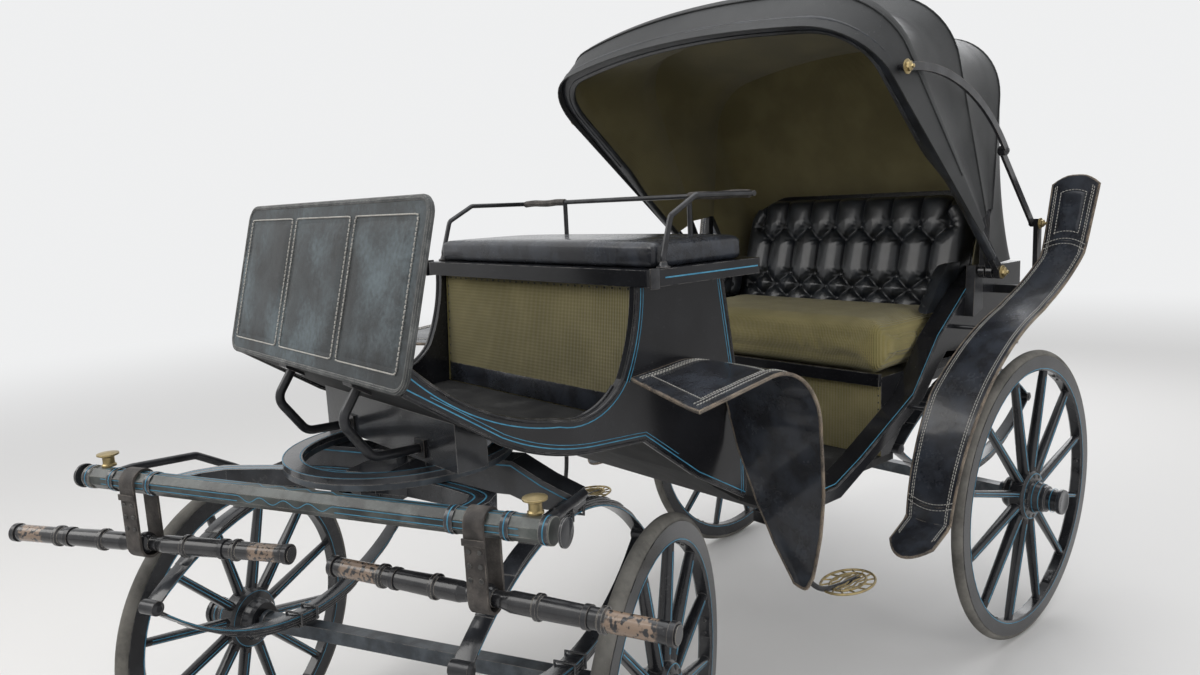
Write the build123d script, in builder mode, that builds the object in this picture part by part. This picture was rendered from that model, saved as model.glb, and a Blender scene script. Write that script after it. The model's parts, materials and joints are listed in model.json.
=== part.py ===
"""Open four-wheeled horse drawn carriage with a folding hood over the rear seat.

Millimetres. +X is forward, +Y is the carriage's left, +Z is up. The origin lies on the floor,
in the carriage's centre plane, under the rear axle. The fore-carriage stands turned to the left.
"""
from build123d import *
from math import atan2, cos, degrees, hypot, radians, sin, sqrt
import os

os.makedirs("parts", exist_ok=True)

# Running gear
REAR_RADIUS = 505
FRONT_RADIUS = 427
WHEELBASE = 1950
REAR_TRACK = 1340
FRONT_TRACK = 1281
STEER = 25.6
KING_LEAD = 55
SPOKES = 12

# Wheels
TYRE_WIDTH = 36
TYRE_DEPTH = 26
FELLOE_WIDTH = 40
FELLOE_DEPTH = 44
CHANNEL_LIP = 7
SPOKE_ROOT = (20, 13)
SPOKE_TIP = (14, 11)
NAVE_RADIUS = 56
NAVE_HALF = 62
FLANGE_RADIUS = 86
FLANGE_HALF = 26
CAP_RADIUS = 37
CAP_REACH = 62
ARM_RADIUS = 19
RUNNING_GAP = 0.06
SEAT_GAP = 0.3

# Axles and springs
AXLE_SIZE = 40
SPRING_TRACK = 832
REAR_SPRING_TRACK = 900
SPRING_HALF_LENGTH = 476
FRONT_SPRING_OPEN = 205
REAR_SPRING_OPEN = 197
LEAF_WIDTH = 44
LEAF_STACK = 26
LEAF_TIP = 9
EYE_RADIUS = 17
CLAMP_LENGTH = 90

# Fore-carriage
FORE_SPRING_TILT = 5.5
SPRING_SEAT = 15
SPLINTER_X = 378
SPLINTER_HEIGHT = 996
SPLINTER_HALF = 612
SPLINTER_SIZE = 48
ROLLER_X = 363
ROLLER_HALF = 567
ROLLER_RADIUS = 13
ROLLER_HEAD = 24
ROLLER_HEIGHT = 34
SWINGLE_LENGTH = 790
SWINGLE_WAIST = 16.5
SWINGLE_DROP = 148
SWINGLE_HALF_TRACK = 458
STRAP_WIDTH = 44
STRAP_THICK = 6
STRAP_INNER = 26
RUNNING_SEAT = 0.3
RING_RADIUS = 255
RING_BAND = 46
RING_THICK = 14
TURNTABLE_GAP = 0.3
BED_TOP = 984
BED_WIDTH = 70
BED_HALF = 456
BOW_THICK = 40
BOW_SLOPE = 0.1
KING_RADIUS = 14
KING_BOTTOM = 884
POLE_BORE = 30
POLE_HEIGHT = 935
POLE_SOCKET = (60, 215)
TRANSOM_HALF = 330
TRANSOM_WIDTH = 80

# Body
BODY_HALF = 450
SIDE_THICK = 25
INNER_HALF = BODY_HALF - SIDE_THICK
CABIN_HALF = 480
QUARTER_THICK = 70
QUARTER_HALF = CABIN_HALF + QUARTER_THICK
SILL_TOP = 745
SILL_BOTTOM = 715
DECK = 1380
SEAT_TOP = 1420
SEAT_HALF = 500
BACK_X = 1231
CUSHION_THICK = 58
DRIVER_HALF = 478
BENCH = 1000
BENCH_FRONT = 610
BENCH_HALF = 470
BENCH_CUSHION = 165
BENCH_ROUND = 42
SQUAB_INNER = 430
REAR_FLOOR = 975
WAIST = 1300
BACK_END = -185

# Outlines in the upright plane along the carriage: x forward, z up
BOOT_FLOOR_LINE = ((2218.9, 1251), (2010, 1120), (1850, 1068), (1720, 1046), (1600, 1050), (1586, 1050))
BOOT_FLOOR_DROP = 18
FRONT_FLOOR_LINE = ((1600, 1032), (1586, 1032), (1420, 900), (1250, 790), (BACK_X, 778))
REAR_FLOOR_LINE = ((BACK_X, 778), (1180, SILL_TOP), (540, SILL_TOP))
FLOOR_DROP = 22
QUARTER_OUTLINE = (
    (1240, SILL_TOP), (960, 750), (830, 800), (540, 935), (390, 1100), (197, 1240), (60, WAIST),
    (BACK_END, WAIST), (BACK_END, 1000), (340, 1050), (400, 1000), (480, 920), (590, 865), (935, SILL_BOTTOM),
    (1240, SILL_BOTTOM),
)

# Dashboard
DASH_LOW = (2236, 1241)
DASH_LEAN = 14.4
DASH_LENGTH = 379
DASH_HALF = 473
DASH_THICK = 14
DASH_CORNER = 34

# Seat rail
RAIL_RADIUS = 7
RAIL_TOP = 1583
RAIL_BACK = 1226
RAIL_HALF = 488

# Guards, wings and steps
GUARD_RADIUS = 690
GUARD_THICK = 8
WING_THICK = 8
STAY_RADIUS = 7
STEP_X = 940
STEP_Y = 575
STEP_HEIGHT = 470
STEP_THICK = 8

# Hood: pivot, then for each bow its angle, half width and shoulder radius
PIVOT_X = 190
PIVOT_Z = 1296
PIVOT_RADIUS = 8
LEG_THICK = 19
LEG_DEPTH = 26
CROWN_RISE = 70
HOOD_CORNER = 190
LEATHER = 5
HOOD_SKIRT = 200
BOWS = (
    ("front", 45, 645, 1040),
    ("mid", 64, 620, 862),
    ("rear", 92, 595, 712),
)
PROP_PIVOT = (0, 1440)
KNUCKLE = (233, 1676)
PROP_NUT = 870
PROP_BOW = 78
PROP_ANGLE = 43
PROP_WIDTH = 22
PROP_THICK = 9
PROP_LOWER_Y = 664.5
PROP_UPPER_Y = 678.8
BRACKET_Y = 682

FORE_EYE = FRONT_RADIUS + AXLE_SIZE / 2 + SPRING_SEAT + FRONT_SPRING_OPEN
FORE_TOP = FORE_EYE + FRONT_SPRING_OPEN
REAR_EYE = REAR_RADIUS + AXLE_SIZE / 2 + SPRING_SEAT + REAR_SPRING_OPEN
REAR_TOP = REAR_EYE + REAR_SPRING_OPEN
KING_X = WHEELBASE + KING_LEAD
RING_TOP = BED_TOP + RING_THICK
TRANSOM_BOTTOM = RING_TOP + TURNTABLE_GAP + RING_THICK
SIDES = (("left", 1), ("right", -1))

BODY = Plane.XY
FORE = Plane(
    origin=(KING_X, 0, 0),
    x_dir=(cos(radians(STEER)), sin(radians(STEER)), 0),
    z_dir=(0, 0, 1),
)


def side_of(frame, y):
    """Upright plane along the frame's length at y: sketch x is forward, sketch y is up."""
    return Plane(frame.from_local_coords((0, y, 0)), x_dir=frame.x_dir, z_dir=-frame.y_dir)


def top_of(frame, z):
    """Level plane at height z: sketch x is forward, sketch y is to the left."""
    return Plane(frame.from_local_coords((0, 0, z)), x_dir=frame.x_dir, z_dir=(0, 0, 1))


def front_of(frame, x):
    """Upright plane across the frame at x: sketch x is to the left, sketch y is up."""
    return Plane(frame.from_local_coords((x, 0, 0)), x_dir=frame.y_dir, z_dir=frame.x_dir)


def height_at(line, x):
    """Height of a polyline of (x, z) points at x."""
    for (x0, z0), (x1, z1) in zip(line, line[1:]):
        if min(x0, x1) <= x <= max(x0, x1):
            return z0 + (z1 - z0) * (x - x0) / (x1 - x0)
    raise ValueError(x)


def band_below(line, drop):
    """Closed outline of a board whose top follows the line and whose underside lies drop lower."""
    return list(line) + [(x, z - drop) for x, z in reversed(line)]


def keep(piece, name):
    """Labels a finished piece and writes it as one STEP file."""
    piece.label = name
    export_step(piece, f"parts/{name}.step")


def board(frame, outline, y0, y1):
    """Flat piece with an outline in the upright plane along the frame, from y0 to y1."""
    with BuildPart() as piece:
        with BuildSketch(side_of(frame, y0)):
            with BuildLine():
                Polyline(*outline, close=True)
            make_face()
        extrude(amount=-(y1 - y0))
    return piece.part


def rod(frame, points, radius, bend=0):
    """Round bar along a polyline given in the frame, with bent corners."""
    path_points = [frame.from_local_coords(point) for point in points]
    with BuildPart() as piece:
        with BuildLine() as path:
            if bend:
                FilletPolyline(*path_points, radius=bend)
            else:
                Polyline(*path_points)
        with BuildSketch(Plane(path.line @ 0, z_dir=path.line % 0)):
            Circle(radius)
        sweep(path=path.line)
    return piece.part


def wheel_planes(frame, x, y, radius):
    """The wheel's disc plane with its normal outboard, and the section plane through its axle."""
    outward = frame.y_dir if y > 0 else -frame.y_dir
    centre = frame.from_local_coords((x, y, radius))
    disc = Plane(centre, x_dir=frame.x_dir, z_dir=outward)
    section = Plane(centre, x_dir=disc.x_dir, z_dir=-disc.y_dir)
    return disc, section


# Wheels: name, frame, axle position, half track and radius
WHEELS = (
    ("front_left", FORE, -KING_LEAD, FRONT_TRACK / 2, FRONT_RADIUS),
    ("front_right", FORE, -KING_LEAD, -FRONT_TRACK / 2, FRONT_RADIUS),
    ("rear_left", BODY, 0, REAR_TRACK / 2, REAR_RADIUS),
    ("rear_right", BODY, 0, -REAR_TRACK / 2, REAR_RADIUS),
)
for name, frame, wheel_x, wheel_y, radius in WHEELS:
    disc, section = wheel_planes(frame, wheel_x, wheel_y, radius)
    axis = Axis(disc.origin, disc.z_dir)
    rim_outer = radius - TYRE_DEPTH
    rim_inner = rim_outer - FELLOE_DEPTH

    # Solid rubber tyre with a rounded tread, seated in the channel
    with BuildPart() as tyre:
        with BuildSketch(section):
            with BuildLine():
                Polyline(
                    (radius - TYRE_WIDTH / 3, -TYRE_WIDTH / 2),
                    (rim_outer, -TYRE_WIDTH / 2),
                    (rim_outer, TYRE_WIDTH / 2),
                    (radius - TYRE_WIDTH / 3, TYRE_WIDTH / 2),
                )
                ThreePointArc(
                    (radius - TYRE_WIDTH / 3, TYRE_WIDTH / 2),
                    (radius, 0),
                    (radius - TYRE_WIDTH / 3, -TYRE_WIDTH / 2),
                )
            make_face()
        revolve(axis=axis)
    keep(tyre.part, f"tyre_{name}")

    # Felloe in its steel channel, tapered spokes, turned nave with flange and cap
    with BuildPart() as wheel:
        with BuildSketch(section):
            with BuildLine():
                Polyline(
                    (rim_inner, -FELLOE_WIDTH / 2 + 5),
                    (rim_inner + 6, -FELLOE_WIDTH / 2),
                    (rim_outer + CHANNEL_LIP, -FELLOE_WIDTH / 2),
                    (rim_outer + CHANNEL_LIP, -TYRE_WIDTH / 2),
                    (rim_outer, -TYRE_WIDTH / 2),
                    (rim_outer, TYRE_WIDTH / 2),
                    (rim_outer + CHANNEL_LIP, TYRE_WIDTH / 2),
                    (rim_outer + CHANNEL_LIP, FELLOE_WIDTH / 2),
                    (rim_inner + 6, FELLOE_WIDTH / 2),
                    (rim_inner, FELLOE_WIDTH / 2 - 5),
                    close=True,
                )
            make_face()
        revolve(axis=axis)
        with BuildSketch(section):
            with BuildLine():
                Polyline(
                    (0, NAVE_HALF + CAP_REACH),
                    (0, -NAVE_HALF),
                    (NAVE_RADIUS - 6, -NAVE_HALF),
                    (NAVE_RADIUS, -NAVE_HALF + 10),
                    (NAVE_RADIUS + 4, -FLANGE_HALF - 6),
                    (FLANGE_RADIUS - 6, -FLANGE_HALF),
                    (FLANGE_RADIUS, -FLANGE_HALF + 8),
                    (FLANGE_RADIUS, FLANGE_HALF - 8),
                    (FLANGE_RADIUS - 6, FLANGE_HALF),
                    (NAVE_RADIUS, FLANGE_HALF + 4),
                    (NAVE_RADIUS - 8, NAVE_HALF),
                    (CAP_RADIUS + 4, NAVE_HALF),
                    (CAP_RADIUS + 4, NAVE_HALF + 12),
                    (CAP_RADIUS, NAVE_HALF + 16),
                    (CAP_RADIUS, NAVE_HALF + CAP_REACH - 10),
                    (CAP_RADIUS - 8, NAVE_HALF + CAP_REACH),
                    close=True,
                )
            make_face()
        revolve(axis=axis)
        for index in range(SPOKES):
            angle = radians(360 * (index + 0.5) / SPOKES)
            outward = disc.x_dir * cos(angle) + disc.y_dir * sin(angle)
            root = disc.origin + outward * (NAVE_RADIUS + 12)
            tip = disc.origin + outward * (rim_inner + 3)
            with BuildSketch(Plane(root, x_dir=disc.z_dir, z_dir=outward)):
                Ellipse(*SPOKE_ROOT)
            with BuildSketch(Plane(tip, x_dir=disc.z_dir, z_dir=outward)):
                Ellipse(*SPOKE_TIP)
            loft()
        with BuildSketch(Plane(disc.origin - disc.z_dir * NAVE_HALF, x_dir=disc.x_dir, z_dir=disc.z_dir)):
            Circle(ARM_RADIUS + RUNNING_GAP)
        extrude(amount=2 * NAVE_HALF, mode=Mode.SUBTRACT)
    keep(wheel.part, f"wheel_{name}")


def axle_part(frame, x, radius, track):
    """A square-bodied axle with round arms in the naves and a seat under each spring."""
    shoulder = track / 2 - NAVE_HALF - SEAT_GAP
    with BuildPart() as axle:
        with BuildSketch(front_of(frame, x - AXLE_SIZE / 2)):
            with Locations((0, radius)):
                RectangleRounded(2 * shoulder, AXLE_SIZE, 6)
        extrude(amount=AXLE_SIZE)
        for side in (1, -1):
            with BuildSketch(side_of(frame, side * (shoulder + 2 * NAVE_HALF - 4))):
                with Locations((x, radius)):
                    Circle(ARM_RADIUS)
            extrude(amount=side * (2 * NAVE_HALF))
            with BuildSketch(side_of(frame, side * (shoulder - 14))):
                with Locations((x, radius)):
                    Circle(AXLE_SIZE * 0.75)
            extrude(amount=7, both=True)
    return axle.part


def spring_pair(frame, x, axle_top, opening, track, tilt):
    """Two full elliptic springs: leaf stacks bowed apart between eyes, with a clamp above and below."""
    length = SPRING_HALF_LENGTH
    eye_height = axle_top + SPRING_SEAT + opening
    with BuildPart() as springs:
        for side in (1, -1):
            upright = side_of(frame, side * track / 2)
            centre = upright.from_local_coords((x, eye_height, 0))
            plane = Plane(centre, x_dir=upright.x_dir, z_dir=upright.z_dir).rotated((0, 0, tilt))
            for up in (1, -1):
                with BuildSketch(plane):
                    with BuildLine():
                        outer = ThreePointArc((-length, up * LEAF_TIP), (0, up * opening),
                            (length, up * LEAF_TIP))
                        inner = ThreePointArc((-length, 0), (0, up * (opening - LEAF_STACK)), (length, 0))
                        Line(outer @ 0, inner @ 0)
                        Line(outer @ 1, inner @ 1)
                    make_face()
                extrude(amount=LEAF_WIDTH / 2, both=True)
                depth = LEAF_STACK + 6 + (SPRING_SEAT if up < 0 else 0)
                middle = up * (opening - LEAF_STACK - 6) + up * depth / 2
                with BuildSketch(upright):
                    with Locations((x, eye_height + middle)):
                        Rectangle(CLAMP_LENGTH, depth)
                extrude(amount=LEAF_WIDTH / 2 + 6, both=True)
            with BuildSketch(plane):
                with Locations((-length, 0), (length, 0)):
                    Circle(EYE_RADIUS)
            extrude(amount=LEAF_WIDTH / 2 + 5, both=True)
    return springs.part


keep(axle_part(BODY, 0, REAR_RADIUS, REAR_TRACK), "rear_axle")
keep(axle_part(FORE, -KING_LEAD, FRONT_RADIUS, FRONT_TRACK), "front_axle")
keep(spring_pair(BODY, 0, REAR_RADIUS + AXLE_SIZE / 2, REAR_SPRING_OPEN, REAR_SPRING_TRACK, 0), "rear_springs")
keep(
    spring_pair(
        FORE, -KING_LEAD, FRONT_RADIUS + AXLE_SIZE / 2, FRONT_SPRING_OPEN, SPRING_TRACK, FORE_SPRING_TILT
    ),
    "front_springs",
)

# Lower half of the turntable: arched bed over the springs, king block and pole socket
bow_plane = Plane(
    FORE.from_local_coords((180, 0, BED_TOP)),
    x_dir=FORE.x_dir + Vector(0, 0, BOW_SLOPE),
    z_dir=Vector(0, 0, 1) - FORE.x_dir * BOW_SLOPE,
)
with BuildPart() as bed:
    with BuildSketch(front_of(FORE, -KING_LEAD - BED_WIDTH / 2)):
        with BuildLine():
            Polyline(
                (0, BED_TOP),
                (300, BED_TOP),
                (385, 940),
                (BED_HALF, 912),
                (BED_HALF, FORE_TOP),
                (370, FORE_TOP),
                (290, 900),
                (0, 900),
                close=True,
            )
        make_face()
        mirror(about=Plane.YZ)
    extrude(amount=BED_WIDTH)
    with BuildSketch(top_of(FORE, 900)):
        with Locations((40, 0)):
            RectangleRounded(220, 110, 12)
    extrude(amount=BED_TOP - 900)
    with BuildSketch(side_of(FORE, 0)):
        with Locations((sum(POLE_SOCKET) / 2, POLE_HEIGHT)):
            Rectangle(POLE_SOCKET[1] - POLE_SOCKET[0], 2 * POLE_BORE + 24)
    extrude(amount=POLE_BORE + 12, both=True)
    # Bow that carries the splinter bar, drawn as a half and mirrored
    with BuildSketch(bow_plane):
        with BuildLine():
            inner_bow = Polyline((-80, 0), (-80, 120), (-40, 250), (15, 385), (85, 408), (182, 408))
            outer_bow = Polyline((-20, 0), (-20, 130), (7, 240), (53, 340), (105, 364), (182, 364))
            Line(inner_bow @ 0, outer_bow @ 0)
            Line(inner_bow @ 1, outer_bow @ 1)
        make_face()
        mirror(about=Plane.XZ)
    extrude(amount=-BOW_THICK)
    split(bisect_by=front_of(FORE, SPLINTER_X - SPLINTER_SIZE / 2 - 0.05), keep=Keep.BOTTOM)
    with BuildSketch(top_of(FORE, KING_BOTTOM)):
        Circle(KING_RADIUS + RUNNING_GAP)
    extrude(amount=BED_TOP - KING_BOTTOM, mode=Mode.SUBTRACT)
    with BuildSketch(front_of(FORE, POLE_SOCKET[1])):
        with Locations((0, POLE_HEIGHT)):
            Circle(POLE_BORE)
    extrude(amount=-115, mode=Mode.SUBTRACT)
keep(bed.part, "bow_bed")

with BuildPart() as ring:
    with BuildSketch(top_of(FORE, BED_TOP)):
        Circle(RING_RADIUS + RING_BAND / 2)
        Circle(RING_RADIUS - RING_BAND / 2, mode=Mode.SUBTRACT)
    extrude(amount=RING_THICK)
keep(ring.part, "turntable_ring")

# Eight-sided splinter bar with iron end caps
with BuildPart() as splinter:
    with BuildSketch(side_of(FORE, SPLINTER_HALF)):
        with Locations((SPLINTER_X, SPLINTER_HEIGHT)):
            RegularPolygon(SPLINTER_SIZE / 2, 8, major_radius=False, rotation=22.5)
    extrude(amount=2 * SPLINTER_HALF)
    for side in (1, -1):
        with BuildSketch(side_of(FORE, side * SPLINTER_HALF)):
            with Locations((SPLINTER_X, SPLINTER_HEIGHT)):
                Circle(SPLINTER_SIZE / 2 + 3)
        extrude(amount=side * 22)
keep(splinter.part, "splinter_bar")

with BuildPart() as rollers:
    for side in (1, -1):
        centre = FORE.from_local_coords((ROLLER_X, side * ROLLER_HALF, SPLINTER_HEIGHT + SPLINTER_SIZE / 2))
        section = Plane(centre, x_dir=FORE.x_dir, z_dir=-FORE.y_dir)
        with BuildSketch(section):
            with BuildLine():
                Polyline(
                    (0, 0),
                    (ROLLER_RADIUS + 3, 0),
                    (ROLLER_RADIUS + 3, 4),
                    (ROLLER_RADIUS, 7),
                    (ROLLER_RADIUS, ROLLER_HEIGHT - 12),
                    (ROLLER_HEAD, ROLLER_HEIGHT - 7),
                    (ROLLER_HEAD, ROLLER_HEIGHT - 3),
                    (0, ROLLER_HEIGHT),
                    close=True,
                )
            make_face()
        revolve(axis=Axis(centre, (0, 0, 1)))
keep(rollers.part, "roller_bolts")

# Side irons from the bar's ends to the ends of the bed
with BuildPart() as stays:
    for side in (1, -1):
        add(
            rod(
                FORE,
                (
                    (353.9, side * 576, 996), (300, side * 576, 996), (130, side * 556, 978),
                    (60, side * 500, 930),
                    (25, side * 436, 893), (-19.9, side * 436, 893),
                ),
                10,
                20,
            )
        )
keep(stays.part, "bed_stays")

# Swingletrees, each hung in a leather strap under the bar: name, side, yaw at rest
SWINGLETREES = (("left", 1, -4.0), ("right", -1, 7.0))
SWINGLE_PROFILE = (
    (-0.5, 17), (-0.47, 20), (-0.33, 20), (-0.325, 25), (-0.315, 25), (-0.31, 20), (-0.16, 22),
    (-0.155, 26), (-0.145, 26), (-0.14, 21), (-0.075, 21), (-0.05, SWINGLE_WAIST),
    (0.05, SWINGLE_WAIST), (0.075, 21), (0.14, 21), (0.145, 26), (0.155, 26), (0.16, 22),
    (0.31, 20), (0.315, 25), (0.325, 25), (0.33, 20), (0.47, 20), (0.5, 17),
)
for name, side, yaw in SWINGLETREES:
    centre = (SPLINTER_X, side * SWINGLE_HALF_TRACK, SPLINTER_HEIGHT - SWINGLE_DROP)
    tree_frame = Plane(FORE.from_local_coords(centre), x_dir=FORE.x_dir, z_dir=(0, 0, 1)).rotated((0, 0, yaw))
    with BuildPart() as tree:
        with BuildSketch(Plane(tree_frame.origin, x_dir=tree_frame.y_dir, z_dir=(0, 0, 1))):
            with BuildLine():
                profile = [(SWINGLE_LENGTH * where, radius) for where, radius in SWINGLE_PROFILE]
                half = len(profile) // 2
                neck = (sqrt((STRAP_INNER - RUNNING_SEAT) ** 2 - SWINGLE_WAIST**2), SWINGLE_WAIST)
                Polyline((-neck[0], neck[1]), *reversed(profile[:half]), (-SWINGLE_LENGTH / 2, 0))
                Polyline((-SWINGLE_LENGTH / 2, 0), (SWINGLE_LENGTH / 2, 0))
                Polyline((SWINGLE_LENGTH / 2, 0), *reversed(profile[half:]), neck)
                ThreePointArc(neck, (0, STRAP_INNER - RUNNING_SEAT), (-neck[0], neck[1]))
            make_face()
        revolve(axis=Axis(tree_frame.origin, tree_frame.y_dir))
    keep(tree.part, f"swingletree_{name}")
    with BuildPart() as strap:
        with BuildSketch(side_of(FORE, side * SWINGLE_HALF_TRACK)):
            with Locations((SPLINTER_X, SPLINTER_HEIGHT - SWINGLE_DROP / 2)):
                SlotCenterToCenter(SWINGLE_DROP, 2 * (STRAP_INNER + STRAP_THICK), rotation=90)
                SlotCenterToCenter(SWINGLE_DROP, 2 * STRAP_INNER, rotation=90, mode=Mode.SUBTRACT)
        extrude(amount=STRAP_WIDTH / 2, both=True)
    keep(strap.part, f"strap_{name}")

# Upper half of the turntable: fixed ring, transom shaped to the boot floor, and the king bolt
underside = [(x, z - BOOT_FLOOR_DROP) for x, z in BOOT_FLOOR_LINE]
transom_front = KING_X + TRANSOM_WIDTH / 2
transom_back = KING_X - TRANSOM_WIDTH / 2
with BuildPart() as transom:
    with BuildSketch(side_of(BODY, 0)):
        with BuildLine():
            Polyline(
                (transom_back, TRANSOM_BOTTOM),
                (transom_front, TRANSOM_BOTTOM),
                (transom_front, height_at(underside, transom_front)),
                underside[1],
                (transom_back, height_at(underside, transom_back)),
                close=True,
            )
        make_face()
    extrude(amount=TRANSOM_HALF, both=True)
    with BuildSketch(Plane.XY.offset(RING_TOP + TURNTABLE_GAP)):
        with Locations((KING_X, 0)):
            Circle(RING_RADIUS + RING_BAND / 2)
            Circle(RING_RADIUS - RING_BAND / 2, mode=Mode.SUBTRACT)
    extrude(amount=RING_THICK)
    with BuildSketch(Plane.XY.offset(KING_BOTTOM)):
        with Locations((KING_X, 0)):
            Circle(KING_RADIUS)
    extrude(amount=TRANSOM_BOTTOM - KING_BOTTOM)
keep(transom.part, "transom")

# Boot: curved side plates, floor, heel panel and the box under the driver's seat
lean = radians(DASH_LEAN)
dash_up = (-sin(lean), cos(lean))
dash_foot = (DASH_LOW[0] - DASH_THICK * cos(lean), DASH_LOW[1] - DASH_THICK * sin(lean))
dash_reach = (1290 - dash_foot[1]) / dash_up[1]
with BuildPart() as sides:
    for side in (1, -1):
        with BuildSketch(side_of(BODY, side * (BODY_HALF - SIDE_THICK / 2))):
            with BuildLine():
                crest = (dash_foot[0] + dash_up[0] * dash_reach, 1290)
                ThreePointArc(crest, (2040, 1166), (1850, 1110))
                ThreePointArc((1850, 1110), (1735, 1112), (1660, 1170))
                ThreePointArc((1660, 1170), (1622, 1268), (1605, DECK))
                Polyline((1605, DECK), (1306, DECK), (1264, 1128), (BACK_X, 931), (BACK_X, 772))
                Polyline((BACK_X, 772), (1420, 878), (1600, 1012), (1740, 1020))
                ThreePointArc((1740, 1020), (1885, 1044), (2010, 1096))
                Line((2010, 1096), dash_foot)
                Line(dash_foot, crest)
            make_face()
        extrude(amount=SIDE_THICK / 2, both=True)
keep(sides.part, "boot_sides")
keep(board(BODY, band_below(BOOT_FLOOR_LINE, BOOT_FLOOR_DROP), -INNER_HALF, INNER_HALF), "boot_floor")
keep(
    board(BODY, ((1600, 1050), (1586, 1050), (1571, DECK), (1585, DECK)), -INNER_HALF, INNER_HALF),
    "heel_panel",
)
back_foot = height_at(FRONT_FLOOR_LINE, BACK_X)
keep(
    board(
        BODY,
        (
            (BACK_X, back_foot), (BACK_X, 931), (1264, 1128), (1306, DECK), (1322, DECK), (1280, 1128),
            (1247, 931), (1247, height_at(FRONT_FLOOR_LINE, 1247)),
        ),
        -INNER_HALF,
        INNER_HALF,
    ),
    "box_back",
)
with BuildPart() as floor:
    add(board(BODY, band_below(FRONT_FLOOR_LINE, FLOOR_DROP), -INNER_HALF, INNER_HALF))
    add(board(BODY, band_below(REAR_FLOOR_LINE, FLOOR_DROP), -CABIN_HALF, CABIN_HALF))
keep(floor.part, "body_floor")

with BuildPart() as seat_frame:
    with BuildSketch(Plane.XY.offset(DECK)):
        with Locations(((1205 + 1610) / 2, 0)):
            RectangleRounded(1610 - 1205, 2 * SEAT_HALF, 18)
    extrude(amount=SEAT_TOP - DECK)
keep(seat_frame.part, "seat_frame")

with BuildPart() as driver_cushion:
    with BuildSketch(Plane.XY.offset(SEAT_TOP)):
        with Locations(((1246 + 1577) / 2, 0)):
            RectangleRounded(1577 - 1246, 2 * DRIVER_HALF, 24)
    extrude(amount=CUSHION_THICK)
    fillet(driver_cushion.faces().sort_by(Axis.Z)[-1].edges(), 12)
keep(driver_cushion.part, "driver_cushion")

with BuildPart() as rail:
    for side in (1, -1):
        add(
            rod(
                BODY,
                (
                    (1553, side * RAIL_HALF, SEAT_TOP), (1553, side * RAIL_HALF, 1446),
                    (1523, side * RAIL_HALF, 1540),
                    (1436, side * RAIL_HALF, RAIL_TOP + 2), (RAIL_BACK, side * RAIL_HALF, RAIL_TOP),
                ),
                RAIL_RADIUS,
                20,
            )
        )
        add(rod(BODY, ((RAIL_BACK, side * 270, SEAT_TOP), (RAIL_BACK, side * 270, RAIL_TOP)), RAIL_RADIUS))
    rail_end = RAIL_HALF + RAIL_RADIUS
    add(rod(BODY, ((RAIL_BACK, -rail_end, RAIL_TOP), (RAIL_BACK, rail_end, RAIL_TOP)), RAIL_RADIUS))
keep(rail.part, "seat_rail")

# Leaning dashboard
dash_plane = Plane((DASH_LOW[0], 0, DASH_LOW[1]), x_dir=(0, 1, 0), z_dir=(cos(lean), 0, sin(lean)))
with BuildPart() as dash:
    with BuildSketch(dash_plane):
        with Locations((0, DASH_LENGTH / 2)):
            RectangleRounded(2 * DASH_HALF, DASH_LENGTH, DASH_CORNER)
    extrude(amount=-DASH_THICK)
keep(dash.part, "dashboard")

with BuildPart() as irons:
    for side in (1, -1):
        add(
            rod(
                BODY,
                (
                    (2188, side * 180, height_at(underside, 2188) - 5), (2232, side * 180, 1142),
                    (2166, side * 180, 1048), (transom_front + 3, side * 180, 1044),
                ),
                11,
                36,
            )
        )
        pad = [(x, height_at(underside, x) - drop) for x, drop in ((2166, 0), (2210, 0), (2210, 9),
            (2166, 9))]
        add(board(BODY, pad, side * 180 - 22, side * 180 + 22))
        foot = ((transom_front, 1024), (transom_front + 7, 1024), (transom_front + 7, 1066),
            (transom_front, 1066))
        add(board(BODY, foot, side * 180 - 22, side * 180 + 22))
keep(irons.part, "boot_irons")

# Rear seat: box, rail, cushions, quarters and back
keep(
    board(
        BODY,
        ((BENCH_FRONT, SILL_TOP), (BENCH_FRONT, BENCH), (80, BENCH), (80, REAR_FLOOR), (350, 965),
            (560, SILL_TOP)),
        -CABIN_HALF,
        CABIN_HALF,
    ),
    "seat_box",
)
keep(
    board(
        BODY,
        ((BENCH_FRONT, 972), (BENCH_FRONT + 16, 972), (BENCH_FRONT + 16, 1012), (BENCH_FRONT, 1012)),
        -CABIN_HALF,
        CABIN_HALF,
    ),
    "riser_rail",
)
with BuildPart() as bench:
    with BuildSketch(Plane.XY.offset(BENCH)):
        with Locations(((130 + 608) / 2, 0)):
            RectangleRounded(608 - 130, 2 * BENCH_HALF, 40)
    extrude(amount=BENCH_CUSHION)
    fillet(bench.faces().sort_by(Axis.Z)[-1].edges(), BENCH_ROUND)
keep(bench.part, "passenger_cushion")
top_seat = BENCH + BENCH_CUSHION
with BuildPart() as back_cushion:
    add(
        board(
            BODY,
            ((160, top_seat), (44, 1560), (24, 1575), (-31, 1575), (-44, 1560), (60, top_seat)),
            -BENCH_HALF,
            BENCH_HALF,
        )
    )
    with BuildSketch(front_of(BODY, -100)):
        with Locations((0, 1575 - 500)):
            RectangleRounded(2 * BENCH_HALF, 1000, 120)
    extrude(amount=400, mode=Mode.INTERSECT)
keep(back_cushion.part, "back_cushion")
with BuildPart() as seat_back:
    add(
        board(
            BODY,
            ((60, BENCH), (60, top_seat), (-44, 1560), (-60, 1560), (44, top_seat), (44, BENCH)),
            -BENCH_HALF,
            BENCH_HALF,
        )
    )
    with BuildSketch(front_of(BODY, -100)):
        with Locations((0, 1560 - 500)):
            RectangleRounded(2 * BENCH_HALF, 1000, 120)
    extrude(amount=400, mode=Mode.INTERSECT)
keep(seat_back.part, "seat_back")
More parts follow.
